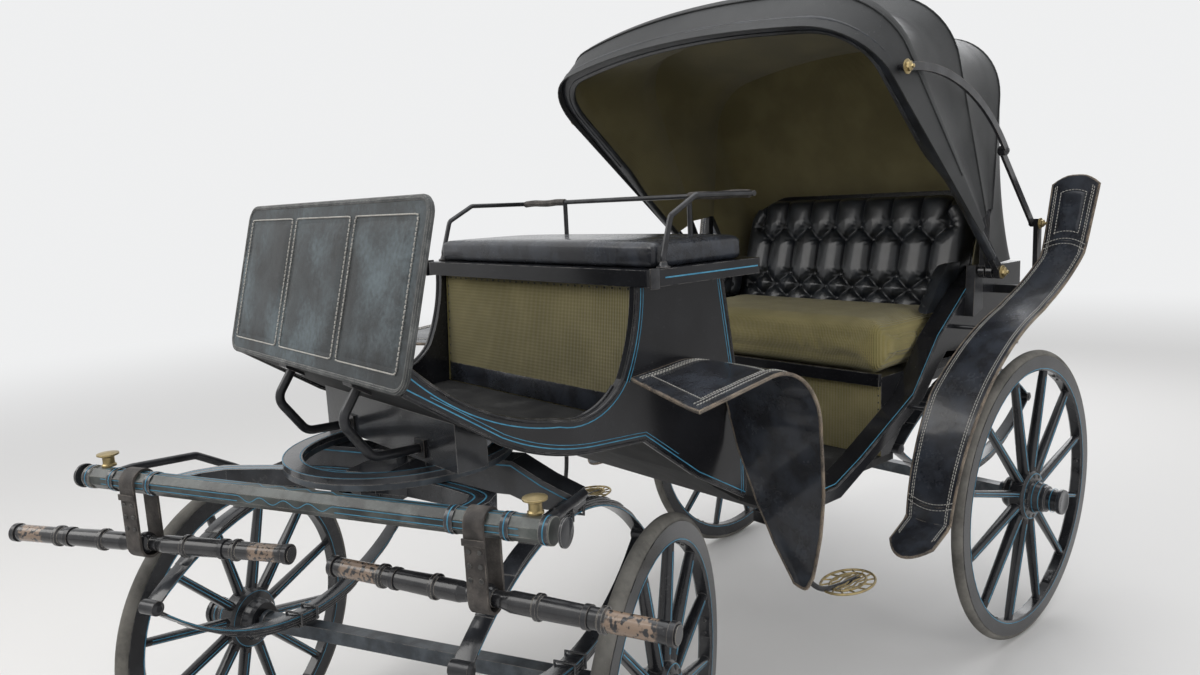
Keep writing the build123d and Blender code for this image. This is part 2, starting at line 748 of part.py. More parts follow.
with BuildPart() as squabs:
    for side in (1, -1):
        add(
            board(
                BODY,
                ((163, top_seat + 1), (340, top_seat + 1), (300, 1230), (200, 1310), (118, 1320)),
                side * SQUAB_INNER,
                side * CABIN_HALF,
            )
        )
keep(squabs.part, "squabs")
for name, side in SIDES:
    keep(board(BODY, QUARTER_OUTLINE, side * CABIN_HALF, side * QUARTER_HALF), f"quarter_{name}")
with BuildPart() as back_panel:
    floor_outline = ((BACK_END, REAR_FLOOR), (80, REAR_FLOOR), (80, BENCH), (BACK_END, BENCH))
    add(board(BODY, floor_outline, -CABIN_HALF, CABIN_HALF))
    wall_outline = ((BACK_END, BENCH), (BACK_END + 20, BENCH), (BACK_END + 20, WAIST), (BACK_END, WAIST))
    add(board(BODY, wall_outline, -CABIN_HALF, CABIN_HALF))
keep(back_panel.part, "back_panel")

with BuildPart() as rear_irons:
    for side in (1, -1):
        add(
            board(
                BODY,
                ((BACK_END, REAR_TOP), (325, REAR_TOP), (350, 965), (80, REAR_FLOOR), (BACK_END, REAR_FLOOR)),
                side * (REAR_SPRING_TRACK / 2 - 18),
                side * (REAR_SPRING_TRACK / 2 + 18),
            )
        )
    with BuildSketch(side_of(BODY, 0)):
        with Locations((0, (REAR_TOP + REAR_FLOOR) / 2)):
            Rectangle(46, REAR_FLOOR - REAR_TOP - 8)
    extrude(amount=REAR_SPRING_TRACK / 2 - 18, both=True)
keep(rear_irons.part, "rear_irons")

# Rear guards: a strip bent round the wheel, cut to its outline as seen from behind
arc_start = (GUARD_RADIUS * cos(radians(8)), REAR_RADIUS + GUARD_RADIUS * sin(radians(8)))
arc_middle = (GUARD_RADIUS * cos(radians(41.5)), REAR_RADIUS + GUARD_RADIUS * sin(radians(41.5)))
arc_end = (GUARD_RADIUS * cos(radians(75)), REAR_RADIUS + GUARD_RADIUS * sin(radians(75)))
for name, side in SIDES:
    with BuildPart() as guard:
        with BuildSketch(side_of(BODY, side * 720)):
            with BuildLine():
                Line((830, 538), arc_start)
                ThreePointArc(arc_start, arc_middle, arc_end)
                ThreePointArc(arc_end, (52, 1262), (-20, 1400))
                Line((-20, 1400), (-70, 1590))
                offset(amount=GUARD_THICK, side=Side.RIGHT)
            make_face()
        extrude(amount=160, both=True)
        with BuildSketch(front_of(BODY, -120)):
            with BuildLine():
                ThreePointArc((side * 615, 560), (side * 680, 532), (side * 745, 560))
                Polyline(
                    (side * 745, 560), (side * 765, 950), (side * 780, 1190), (side * 828, 1340),
                    (side * 845, 1560)
                )
                ThreePointArc((side * 845, 1560), (side * 775, 1592), (side * 705, 1560))
                Polyline(
                    (side * 705, 1560), (side * 702, 1330), (side * 640, 1190), (side * 602, 950),
                    (side * 615, 560)
                )
            make_face()
        extrude(amount=1000, mode=Mode.INTERSECT)
    keep(guard.part, f"rear_guard_{name}")

with BuildPart() as guard_stays:
    for side in (1, -1):
        for angle, reach in ((36, 640), (65, 650)):
            radius = GUARD_RADIUS - STAY_RADIUS - 0.05
            spot = (radius * cos(radians(angle)), REAR_RADIUS + radius * sin(radians(angle)))
            add(rod(BODY, ((spot[0], side * QUARTER_HALF, spot[1]),
                (spot[0], side * reach, spot[1])), STAY_RADIUS))
keep(guard_stays.part, "guard_stays")

# Front wings: a level leaf over the wheel that turns down behind it
for name, side in SIDES:
    with BuildPart() as wing:
        with BuildSketch(side_of(BODY, side * 605)):
            with BuildLine():
                Line((1736, 1152), (1470, 1178))
                ThreePointArc((1470, 1178), (1345, 1130), (1302, 1010))
                ThreePointArc((1302, 1010), (1294, 820), (1310, 600))
                offset(amount=WING_THICK, side=Side.RIGHT)
            make_face()
        extrude(amount=155, both=True)
        with BuildSketch(top_of(BODY, 560)):
            with BuildLine():
                Polyline(
                    (1240, side * 450), (1632, side * 450), (1738, side * 750), (1728, side * 760),
                    (1716, side * 760),
                    (1470, side * 738), (1240, side * 738), close=True,
                )
            make_face()
        extrude(amount=700, mode=Mode.INTERSECT)
        with BuildSketch(front_of(BODY, 1200)):
            with BuildLine():
                Polyline((side * 450, 1060), (side * 450, 1200), (side * 760, 1200),
                    (side * 760, 1160), (side * 742, 1060))
                ThreePointArc((side * 742, 1060), (side * 740, 850), (side * 712, 640))
                ThreePointArc((side * 712, 640), (side * 690, 612), (side * 660, 618))
                ThreePointArc((side * 660, 618), (side * 535, 800), (side * 450, 1060))
            make_face()
        extrude(amount=600, mode=Mode.INTERSECT)
    keep(wing.part, f"front_wing_{name}")

# Steps hung from the sills on curved stems
with BuildPart() as steps:
    for side in (1, -1):
        add(
            rod(
                BODY,
                (
                    (1085, side * 515, SILL_BOTTOM), (1085, side * 515, 650), (1092, side * 522, 560),
                    (1040, side * 560, STEP_HEIGHT - 6), (STEP_X + 30, side * STEP_Y, STEP_HEIGHT - 6),
                ),
                8,
                30,
            )
        )
        with BuildSketch(Plane.XY.offset(STEP_HEIGHT - STEP_THICK / 2)):
            with Locations((STEP_X, side * STEP_Y)):
                Ellipse(100, 70)
        extrude(amount=STEP_THICK)
keep(steps.part, "steps")


def bow_points(half, shoulder, corner, grow):
    """Knee, end of corner and crown of one half of a bow's inner line, grown outward in its plane."""
    turn = radians(80)
    knee = shoulder + 27 - corner * sin(turn)
    radius = corner + grow
    hip = (half - corner + radius * cos(turn), knee + radius * sin(turn))
    return (half + grow, knee), hip, (0, shoulder + CROWN_RISE + grow)


def bow_plane_at(angle):
    """Plane of a bow turned back by an angle from level: sketch x is left, sketch y is outward."""
    lift = radians(angle)
    return Plane((PIVOT_X, 0, PIVOT_Z), x_dir=(0, 1, 0), z_dir=(sin(lift), 0, -cos(lift)))


def hoop(bands, depth=0):
    """Bent band across the hood: one section made deep, or ruled between several sections.

    Each band has a plane angle, half width and shoulder radius of the inner line, corner radius,
    start radius, and how far its two faces lie outside that line.
    """
    with BuildPart() as piece:
        for angle, half, shoulder, corner, start, inside, outside in bands:
            with BuildSketch(bow_plane_at(angle)):
                with BuildLine():
                    for grow in (inside, outside):
                        knee, hip, crown = bow_points(half, shoulder, corner, grow)
                        Line((knee[0], start), knee)
                        TangentArc(knee, hip, tangent=(0, 1))
                        ThreePointArc(hip, crown, (-hip[0], hip[1]))
                        TangentArc((-knee[0], knee[1]), (-hip[0], hip[1]), tangent=(0, 1))
                        Line((-knee[0], knee[1]), (-knee[0], start))
                    Line((half + inside, start), (half + outside, start))
                    Line((-half - inside, start), (-half - outside, start))
                make_face()
        if depth:
            extrude(amount=depth / 2, both=True)
        else:
            loft(ruled=True)
    return piece.part


NUT = (PIVOT_X + PROP_NUT * cos(radians(PROP_ANGLE)), PIVOT_Z + PROP_NUT * sin(radians(PROP_ANGLE)))


def prop_lug(side, angle, half):
    """Lug on the front bow's leg with the pin that carries the upper prop link."""
    root = (
        PIVOT_X + (PROP_NUT + 4) * cos(radians(angle)),
        PIVOT_Z + (PROP_NUT + 4) * sin(radians(angle)),
    )
    middle = ((root[0] + NUT[0]) / 2, (root[1] + NUT[1]) / 2)
    length = hypot(root[0] - NUT[0], root[1] - NUT[1])
    with BuildPart() as lug:
        with BuildSketch(side_of(BODY, side * half)):
            with Locations(middle):
                SlotCenterToCenter(length, 26, rotation=degrees(atan2(root[1] - NUT[1], root[0] - NUT[0])))
        extrude(amount=LEG_THICK / 2, both=True)
        with BuildSketch(side_of(BODY, side * half)):
            with Locations(NUT):
                Circle(PIVOT_RADIUS)
        extrude(amount=-side * (PROP_UPPER_Y + 12 - half))
    return lug.part


for name, angle, half, shoulder in BOWS:
    with BuildPart() as bow:
        add(hoop([(angle, half - LEG_THICK / 2, shoulder, HOOD_CORNER, 0, 0, LEG_THICK)], LEG_DEPTH))
        if name == "front":
            for side in (1, -1):
                add(prop_lug(side, angle, half))
        for side in (1, -1):
            with BuildSketch(side_of(BODY, side * half)):
                with Locations((PIVOT_X, PIVOT_Z)):
                    Circle(22)
            extrude(amount=LEG_THICK / 2, both=True)
            with BuildSketch(side_of(BODY, side * half)):
                with Locations((PIVOT_X, PIVOT_Z)):
                    Circle(PIVOT_RADIUS + RUNNING_GAP)
            extrude(amount=LEG_THICK, both=True, mode=Mode.SUBTRACT)
    keep(bow.part, f"bow_{name}")


def leather_band(angle, half, shoulder):
    """Section of the leather that lies on a bow."""
    inside = LEG_THICK + 0.5
    return angle, half - LEG_THICK / 2, shoulder, HOOD_CORNER, HOOD_SKIRT, inside, inside + LEATHER


# Leather between the bows: name, then plane angle and bow number of each section
LEATHERS = (
    ("leather_front", ((40.6, 0), (44.2, 0), (45.8, 0), (49.0, 0), (60.0, 1), (63.0, 1), (65.0, 1),
        (67.9, 1))),
    ("leather_mid", ((68.1, 1), (88.0, 2), (90.9, 2), (93.1, 2), (95.9, 2))),
)
for name, stations in LEATHERS:
    bands = []
    for angle, number in stations:
        half, shoulder = BOWS[number][2:]
        bands.append(leather_band(angle, half, shoulder))
    with BuildPart() as leather:
        add(hoop(bands))
        if name == "leather_front":
            with BuildSketch(side_of(BODY, 0)):
                with Locations(NUT):
                    Circle(PIVOT_RADIUS + 2)
            extrude(amount=800, both=True, mode=Mode.SUBTRACT)
    keep(leather.part, name)

# Back curtain from the rear bow down to the body
rear_half, rear_shoulder = BOWS[2][2:]
keep(hoop([leather_band(96.1, rear_half, rear_shoulder),
    (177, 548, 305, 60, 60, 0, LEATHER)]), "back_curtain")

# Hinge plates with the hood pins, and brackets for the props
with BuildPart() as hinges:
    for side in (1, -1):
        hinge_face = side * (QUARTER_HALF + 30)
        add(board(BODY, ((160, 1170), (225, 1150), (215, 1316),
            (165, 1316)), side * QUARTER_HALF, hinge_face))
        with BuildSketch(side_of(BODY, hinge_face)):
            with Locations((PIVOT_X, PIVOT_Z)):
                Circle(PIVOT_RADIUS)
        extrude(amount=-side * 80)
        arm = ((-14, 1206), (14, 1206), (14, 1234), (-14, 1234))
        post = ((-14, 1206), (14, 1206), (14, 1456), (-14, 1456))
        add(board(BODY, arm, side * QUARTER_HALF, side * (BRACKET_Y + 8)))
        add(board(BODY, post, side * (BRACKET_Y - 7.5), side * (BRACKET_Y + 8)))
        with BuildSketch(side_of(BODY, side * (BRACKET_Y + 4))):
            with Locations(PROP_PIVOT):
                Circle(PIVOT_RADIUS)
        extrude(amount=side * 30)
keep(hinges.part, "hood_brackets")


# Folding props: straight lower link on the bracket, bowed upper link on the front bow
def link(start, end, y, hole_radius):
    """Flat link between two centres in the upright plane, with a hole at its first end."""
    length = hypot(end[0] - start[0], end[1] - start[1])
    angle = degrees(atan2(end[1] - start[1], end[0] - start[0]))
    middle = ((start[0] + end[0]) / 2, (start[1] + end[1]) / 2)
    with BuildPart() as piece:
        with BuildSketch(side_of(BODY, y)):
            with Locations(middle):
                SlotCenterToCenter(length, PROP_WIDTH, rotation=angle)
            with Locations(start):
                Circle(hole_radius, mode=Mode.SUBTRACT)
        extrude(amount=PROP_THICK / 2, both=True)
    return piece.part


def bowed_link(start, end, rise, y, hole_radius):
    """Flat link bent to an arc between two centres, with a hole at its first end."""
    length = hypot(end[0] - start[0], end[1] - start[1])
    crown = (
        (start[0] + end[0]) / 2 + rise * (end[1] - start[1]) / length,
        (start[1] + end[1]) / 2 - rise * (end[0] - start[0]) / length,
    )
    with BuildPart() as piece:
        with BuildSketch(side_of(BODY, y)):
            SlotArc(Edge.make_three_point_arc(start, crown, end), PROP_WIDTH)
            with Locations(start):
                Circle(hole_radius, mode=Mode.SUBTRACT)
        extrude(amount=PROP_THICK / 2, both=True)
    return piece.part


for name, side in SIDES:
    keep(link(PROP_PIVOT, KNUCKLE, side * PROP_LOWER_Y, PIVOT_RADIUS + RUNNING_GAP), f"prop_lower_{name}")
    upper = bowed_link(NUT, KNUCKLE, PROP_BOW, side * PROP_UPPER_Y, PIVOT_RADIUS + RUNNING_GAP)
    keep(upper, f"prop_upper_{name}")
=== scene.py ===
"""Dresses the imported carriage: leather, cloth, paint, stitching, fittings, light and camera."""

import json
import logging
from collections.abc import Callable, Sequence
from dataclasses import dataclass, field
from enum import Enum
from math import atan, atan2, copysign, cos, exp, hypot, pi, radians, sin, sqrt, tau

import bpy
from mathutils import Matrix, Vector

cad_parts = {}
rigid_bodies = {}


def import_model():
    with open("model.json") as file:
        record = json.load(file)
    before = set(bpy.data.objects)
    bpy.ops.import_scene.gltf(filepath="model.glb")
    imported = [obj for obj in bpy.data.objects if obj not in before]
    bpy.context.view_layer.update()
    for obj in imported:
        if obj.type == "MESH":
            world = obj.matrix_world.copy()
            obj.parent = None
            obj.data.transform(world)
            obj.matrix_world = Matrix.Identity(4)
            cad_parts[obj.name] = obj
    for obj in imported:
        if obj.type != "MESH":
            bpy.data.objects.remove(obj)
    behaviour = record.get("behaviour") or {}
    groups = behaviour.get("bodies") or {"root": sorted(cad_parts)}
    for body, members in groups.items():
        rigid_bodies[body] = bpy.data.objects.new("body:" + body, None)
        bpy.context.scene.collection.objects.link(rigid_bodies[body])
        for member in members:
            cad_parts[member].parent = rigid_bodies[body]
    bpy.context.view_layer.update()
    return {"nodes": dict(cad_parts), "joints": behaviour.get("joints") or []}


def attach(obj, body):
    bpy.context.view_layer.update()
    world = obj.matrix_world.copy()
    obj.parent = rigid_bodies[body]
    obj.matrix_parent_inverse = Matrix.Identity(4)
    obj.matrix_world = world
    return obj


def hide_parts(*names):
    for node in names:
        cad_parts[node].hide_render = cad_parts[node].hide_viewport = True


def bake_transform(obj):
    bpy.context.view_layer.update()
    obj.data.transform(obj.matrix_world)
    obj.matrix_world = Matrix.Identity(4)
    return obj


LOG = logging.getLogger("carriage")

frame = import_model()

Point = tuple[float, float, float]
Flat = tuple[float, float]
Colour = tuple[float, float, float]
Points = Sequence[Sequence[float]]
Stations = Sequence[tuple["Bow", float]]
Body = str
Piece = bpy.types.Object
Socket = bpy.types.NodeSocket
UP = Vector((0, 0, 1))
LINE_LIFT = 0.0004
PAINT_THICK = 0.0003
REAR_RADIUS = 0.505
FRONT_RADIUS = 0.427
SIDES = (("left", 1), ("right", -1))


def joint_named(name: str) -> dict:
    """The frame's joint of that name."""
    return next(joint for joint in frame["joints"] if joint["name"] == name)


STEERING = Vector(joint_named("steering")["pos_m"])
FRONT_AXIS = Vector(joint_named("wheel_front_left_spin")["axis"])
TURN = atan2(-FRONT_AXIS.x, FRONT_AXIS.y)


def fore(x: float, y: float, z: float) -> Vector:
    """Point of the turned front carriage.

    Args:
        x: Metres ahead of the king bolt along the front carriage.
        y: Metres to its left.
        z: Height.

    Returns:
        The same point in the shared frame.
    """
    cosine, sine = cos(TURN), sin(TURN)
    return Vector((STEERING.x + x * cosine - y * sine, x * sine + y * cosine, z))


AHEAD = Vector((cos(TURN), sin(TURN), 0))


# Shader tools


class Wires:
    """A node tree that is being wired up."""

    def __init__(self, tree: bpy.types.NodeTree) -> None:
        """Keeps the tree."""
        self.tree = tree

    def add(self, kind: str, **settings: object) -> bpy.types.Node:
        """Adds a node.

        Args:
            kind: Node type without its ShaderNode prefix.
            settings: Properties of the node.

        Returns:
            The new node.
        """
        node = self.tree.nodes.new("ShaderNode" + kind)
        for key, value in settings.items():
            setattr(node, key, value)
        return node

    def group(self, tree: bpy.types.NodeTree, **values: float) -> bpy.types.Node:
        """Adds a group with its inputs set."""
        node = self.add("Group", node_tree=tree)
        for key, value in values.items():
            node.inputs[key].default_value = value
        return node

    def put(self, socket: Socket, value: object) -> None:
        """Links a socket to another one, or sets its value."""
        if isinstance(value, Socket):
            self.tree.links.new(value, socket)
        elif isinstance(value, tuple) and len(value) == 3 and socket.type == "RGBA":
            socket.default_value = (*value, 1.0)
        else:
            socket.default_value = value

    def math(self, operation: str, *values: object, clamp: bool = False) -> Socket:
        """Result of a Math node."""
        node = self.add("Math", operation=operation, use_clamp=clamp)
        for socket, value in zip(node.inputs, values):
            self.put(socket, value)
        return node.outputs[0]

    def times(self, first: object, second: object) -> Socket:
        """Product of two values."""
        return self.math("MULTIPLY", first, second)

    def plus(self, first: object, second: object, clamp: bool = False) -> Socket:
        """Sum of two values."""
        return self.math("ADD", first, second, clamp=clamp)

    def minus(self, first: object, second: object, clamp: bool = False) -> Socket:
        """Difference of two values."""
        return self.math("SUBTRACT", first, second, clamp=clamp)

    def vector(self, operation: str, *values: object, output: str = "Vector") -> Socket:
        """Result of a Vector Math node."""
        node = self.add("VectorMath", operation=operation)
        for socket, value in zip(node.inputs, values):
            self.put(socket, value)
        return node.outputs[output]

    def blend(self, factor: object, first: object, second: object) -> Socket:
        """Colour between two colours."""
        node = self.add("Mix", data_type="RGBA")
        self.put(node.inputs[0], factor)
        self.put(node.inputs[6], first)
        self.put(node.inputs[7], second)
        return node.outputs[2]

    def between(self, value: object, low: float, high: float) -> Socket:
        """Smooth step of a value from 0 at low to 1 at high."""
        node = self.add("MapRange", interpolation_type="SMOOTHSTEP")
        self.put(node.inputs[0], value)
        self.put(node.inputs[1], low)
        self.put(node.inputs[2], high)
        return node.outputs[0]

    def noise(self, where: object, scale: object, detail: float = 3.0) -> Socket:
        """Value of a noise texture."""
        node = self.add("TexNoise")
        self.put(node.inputs["Vector"], where)
        self.put(node.inputs["Scale"], scale)
        node.inputs["Detail"].default_value = detail
        return node.outputs["Fac"]


def new_group(name: str, inputs: dict[str, float], outputs: Sequence[str]) -> tuple[Wires, dict, dict]:
    """Starts a shader node group with float inputs.

    Args:
        name: The group's name.
        inputs: Names and first values of its inputs.
        outputs: Names of its outputs; one called Normal is a vector.

    Returns:
        The group's wires, its input sockets and its output sockets by name.
    """
    tree = bpy.data.node_groups.new(name, "ShaderNodeTree")
    for key, value in inputs.items():
        socket = tree.interface.new_socket(name=key, in_out="INPUT", socket_type="NodeSocketFloat")
        socket.default_value = value
    for key in outputs:
        kind = "NodeSocketVector" if key == "Normal" else "NodeSocketFloat"
        tree.interface.new_socket(name=key, in_out="OUTPUT", socket_type=kind)
    wires = Wires(tree)
    start = tree.nodes.new("NodeGroupInput")
    end = tree.nodes.new("NodeGroupOutput")
    return wires, {key: start.outputs[key] for key in inputs}, {key: end.inputs[key] for key in outputs}


def make_edge_group() -> bpy.types.NodeTree:
    """Group that rounds edges for the light and masks where paint has worn off them."""
    inputs = {"Radius": 0.003, "Amount": 0.5, "Scale": 30.0}
    wires, given, out = new_group("edge_wear", inputs, ("Mask", "Normal"))
    place = wires.add("TexCoord").outputs["Object"]
    bevel = wires.add("Bevel", samples=4)
    wires.put(bevel.inputs["Radius"], given["Radius"])
    flat = wires.add("NewGeometry").outputs["Normal"]
    facing = wires.vector("DOT_PRODUCT", bevel.outputs["Normal"], flat, output="Value")
    turned = wires.minus(1.0, facing, clamp=True)
    speckle = wires.noise(place, given["Scale"], 5.0)
    edge = wires.times(wires.between(turned, 0.01, 0.12), given["Amount"])
    rough_edge = wires.plus(edge, wires.minus(speckle, 1.05))
    wires.put(out["Mask"], wires.between(rough_edge, 0.0, 0.12))
    wires.put(out["Normal"], bevel.outputs["Normal"])
    return wires.tree


def make_dust_group() -> bpy.types.NodeTree:
    """Group that masks broad patches of dust and fine speckles."""
    wires, given, out = new_group("dust_patches", {"Scale": 3.0, "Amount": 0.4}, ("Mask", "Speckle"))
    place = wires.add("TexCoord").outputs["Object"]
    broad = wires.noise(place, given["Scale"], 6.0)
    fine = wires.noise(place, wires.times(given["Scale"], 14.0), 4.0)
    level = wires.plus(wires.times(broad, 0.75), wires.times(fine, 0.25))
    threshold = wires.minus(0.78, wires.times(given["Amount"], 0.5))
    wires.put(out["Mask"], wires.between(wires.minus(level, threshold), -0.05, 0.3))
    speck = wires.noise(place, wires.times(given["Scale"], 60.0), 2.0)
    wires.put(out["Speckle"], wires.between(speck, 0.66, 0.74))
    return wires.tree


def make_hide_group() -> bpy.types.NodeTree:
    """Group with the pebbled grain and long creases of leather."""
    wires, given, out = new_group("hide_grain", {"Scale": 260.0, "Creases": 0.5}, ("Height", "Crease"))
    place = wires.add("TexCoord").outputs["Object"]
    cells = wires.add("TexVoronoi", feature="DISTANCE_TO_EDGE")
    wires.put(cells.inputs["Vector"], place)
    wires.put(cells.inputs["Scale"], given["Scale"])
    pebble = wires.between(cells.outputs["Distance"], 0.0, 0.25)
    warp = wires.noise(place, 4.0, 4.0)
    ridge = wires.math("ABSOLUTE", wires.minus(warp, 0.5))
    crease = wires.minus(1.0, wires.between(ridge, 0.0, 0.02))
    cracks = wires.times(crease, given["Creases"])
    wires.put(out["Height"], wires.minus(wires.times(pebble, 0.3), cracks))
    wires.put(out["Crease"], cracks)
    return wires.tree


def make_rib_group() -> bpy.types.NodeTree:
    """Group with the fine cords of ribbed cloth; the cords run where the first input is constant."""
    inputs = {"Along": 0.0, "Across": 0.0, "Count": 200.0}
    wires, given, out = new_group("rib_weave", inputs, ("Height", "Thread"))
    turns = wires.times(given["Along"], wires.times(given["Count"], tau))
    cord = wires.math("SINE", turns)
    weft = wires.math("SINE", wires.times(given["Across"], wires.times(given["Count"], 4.0)))
    place = wires.add("TexCoord").outputs["Object"]
    fuzz = wires.noise(place, 900.0, 2.0)
    wires.put(out["Height"], wires.plus(wires.times(cord, 0.5), wires.times(weft, 0.12)))
    wires.put(out["Thread"], wires.plus(wires.times(cord, 0.2), fuzz))
    return wires.tree


EDGE_GROUP = make_edge_group()
DUST_GROUP = make_dust_group()
HIDE_GROUP = make_hide_group()
RIB_GROUP = make_rib_group()


class Surface(Enum):
    """What a finish is made of, which chooses its relief."""

    PAINT = "paint"
    WOOD = "wood"
    LEATHER = "leather"
    CLOTH = "cloth"
    RUBBER = "rubber"
    METAL = "metal"


class Cords(Enum):
    """The direction that ribbed cloth's cords are counted in."""

    ACROSS_BODY = "y"
    OWN_MAP = "uv"


@dataclass(frozen=True)
class Finish:
    """One finish of the carriage, with its wear and dust, and painted shade in the hollows of leather and
    cloth.
    """

    name: str
    slot: str
    surface: Surface
    base: Colour
    second: Colour
    worn: Colour
    # Colour of the dust patches; the guard leather's bluish one also paints a sheen.
    dust: Colour
    roughness: float
    metallic: float = 0.0
    coat: float = 0.0
    bump: float = 0.15
    grain: float = 60.0
    wear: float = 0.5
    wear_radius: float = 0.003
    dusty: float = 0.3
    patch: float = 3.0
    creases: float = 0.5
    cords: Cords = Cords.ACROSS_BODY

    def relief(self, wires: Wires, place: Socket) -> tuple[object, object]:
        """Height, and a mask of painted shade in the hollows of leather and cloth and of random dark mottling
        on other surfaces.

        Args:
            wires: The material's wires.
            place: Object coordinates.

        Returns:
            The height and that mask, from 0 to 1.
        """
        if self.surface is Surface.LEATHER:
            hide = wires.group(HIDE_GROUP, Scale=self.grain, Creases=self.creases)
            # The creases give both the relief and the painted shade in them.
            return hide.outputs["Height"], hide.outputs["Crease"]
        if self.surface is Surface.CLOTH:
            ribs = wires.group(RIB_GROUP, Count=self.grain)
            source = wires.add("TexCoord").outputs["UV"] if self.cords is Cords.OWN_MAP else place
            split = wires.add("SeparateXYZ")
            wires.put(split.inputs[0], source)
            wires.put(ribs.inputs["Along"], split.outputs["Y"])
            wires.put(ribs.inputs["Across"], split.outputs["X" if self.cords is Cords.OWN_MAP else "Z"])
            # Painted shade between the cords, mixed with random fuzz.
            return ribs.outputs["Height"], wires.minus(0.6, ribs.outputs["Thread"], clamp=True)
        stretch = (3.0, 1.0, 3.0) if self.surface is Surface.WOOD else (1.0, 1.0, 1.0)
        lumps = wires.noise(wires.vector("MULTIPLY", place, stretch), self.grain, 5.0)
        return lumps, wires.between(lumps, 0.62, 0.8)

    def material(self) -> bpy.types.Material:
        """The finish as a material, made once."""
        title = f"finish_{self.name}"
        made = bpy.data.materials.get(title)
        if made is not None:
            return made
        made = bpy.data.materials.new(title)
        made.use_nodes = True
        wires = Wires(made.node_tree)
        shader = made.node_tree.nodes["Principled BSDF"]
        place = wires.add("TexCoord").outputs["Object"]
        height, shade_and_mottle = self.relief(wires, place)
        edge = wires.group(EDGE_GROUP, Radius=self.wear_radius, Amount=self.wear, Scale=28.0)
        patches = wires.group(DUST_GROUP, Scale=self.patch, Amount=self.dusty)
        tone = wires.between(wires.noise(place, self.patch * 2.3, 4.0), 0.35, 0.7)
        colour = wires.blend(tone, self.base, self.second)
        # Painted shade: the colour darkened in the hollows of leather and cloth; random dark mottling
        # elsewhere.
        colour = wires.blend(wires.times(shade_and_mottle, 0.45), colour, self.shade())
        colour = self.marks(wires, place, colour)
        # Dust patches; on the guard leather they also carry a painted bluish sheen.
        colour = wires.blend(wires.times(patches.outputs["Mask"], 0.8), colour, self.dust)
        colour = wires.blend(edge.outputs["Mask"], colour, self.worn)
        colour = wires.blend(wires.times(patches.outputs["Speckle"], self.dusty), colour, self.dust)
        wires.put(shader.inputs["Base Color"], colour)
        matt = wires.plus(self.roughness, wires.times(patches.outputs["Mask"], 0.3))
        matt = wires.plus(matt, wires.times(edge.outputs["Mask"], 0.25), clamp=True)
        wires.put(shader.inputs["Roughness"], matt)
        cloth = self.surface is Surface.CLOTH
        steady = {"Metallic": self.metallic, "Coat Weight": self.coat, "Coat Roughness": 0.12}
        steady |= {"Specular IOR Level": 0.3, "Sheen Weight": 0.25 if cloth else 0.0}
        for key, value in steady.items():
            shader.inputs[key].default_value = value
        bump = wires.add("Bump")
        bump.inputs["Strength"].default_value = self.bump
        bump.inputs["Distance"].default_value = 0.0025 if cloth else 0.001
        wires.put(bump.inputs["Height"], height)
        wires.put(bump.inputs["Normal"], edge.outputs["Normal"])
        wires.put(shader.inputs["Normal"], bump.outputs["Normal"])
        return made

    def shade(self) -> Colour:
        """The base colour at 45 percent: painted shade in the hollows of leather and cloth, dark mottling on
        other surfaces.
        """
        red, green, blue = self.base
        return red * 0.45, green * 0.45, blue * 0.45

    def marks(self, wires: Wires, place: Socket, colour: object) -> object:
        """The colour with marks of its own; plain finishes have none."""
        return colour


@dataclass(frozen=True)
class RubbedFinish(Finish):
    """Paint that has been rubbed to bare wood in bands along a bar."""

    centre: Point = (0.0, 0.0, 0.0)
    axis: Point = (0.0, 1.0, 0.0)
    band: Flat = (0.30, 0.36)
    bare: Colour = (0.23, 0.165, 0.12)

    def marks(self, wires: Wires, place: Socket, colour: object) -> object:
        """The colour with its bare bands.

        Args:
            wires: The material's wires.
            place: Object coordinates.
            colour: The colour so far.

        Returns:
            The colour with bare wood in the bands.
        """
        offset = wires.vector("SUBTRACT", place, self.centre)
        along = wires.math("ABSOLUTE", wires.vector("DOT_PRODUCT", offset, self.axis, output="Value"))
        ragged = wires.plus(along, wires.times(wires.noise(place, 60.0, 5.0), 0.02))
        inside = wires.between(ragged, self.band[0], self.band[0] + 0.008)
        outside = wires.between(ragged, self.band[1] - 0.008, self.band[1])
        holes = wires.between(wires.noise(place, 90.0, 4.0), 0.4, 0.5)
        mask = wires.times(wires.minus(inside, outside), holes)
        return wires.blend(mask, colour, self.bare)


BLACK = (0.012, 0.012, 0.014)
GREY_DUST = (0.16, 0.16, 0.155)

BODY_PAINT = Finish(
    "body_paint", "body_wood", Surface.PAINT, (0.007, 0.007, 0.0085), (0.014, 0.0145, 0.017),
    (0.2, 0.19, 0.18), GREY_DUST, 0.22, coat=0.22, bump=0.1, grain=35, wear=0.62, dusty=0.2,
)
FLOOR_PAINT = Finish(
    "floor_boards", "body_wood", Surface.PAINT, (0.012, 0.012, 0.013), (0.028, 0.028, 0.028),
    (0.16, 0.15, 0.14), GREY_DUST, 0.75, bump=0.3, grain=50, wear=0.6, dusty=0.35, patch=5,
)
WHEEL_PAINT = Finish(
    "wheel_paint", "wheel_paint", Surface.PAINT, BLACK, (0.024, 0.025, 0.028), (0.17, 0.165, 0.16),
    GREY_DUST, 0.26, coat=0.4, bump=0.2, grain=60, wear=0.62, dusty=0.24, patch=5,
)
GEAR_PAINT = Finish(
    "gear_paint", "black_paint", Surface.PAINT, (0.015, 0.016, 0.019), (0.035, 0.038, 0.044),
    (0.28, 0.27, 0.26), GREY_DUST, 0.24, coat=0.45, bump=0.4, grain=90, wear=0.72, dusty=0.3, patch=6,
)
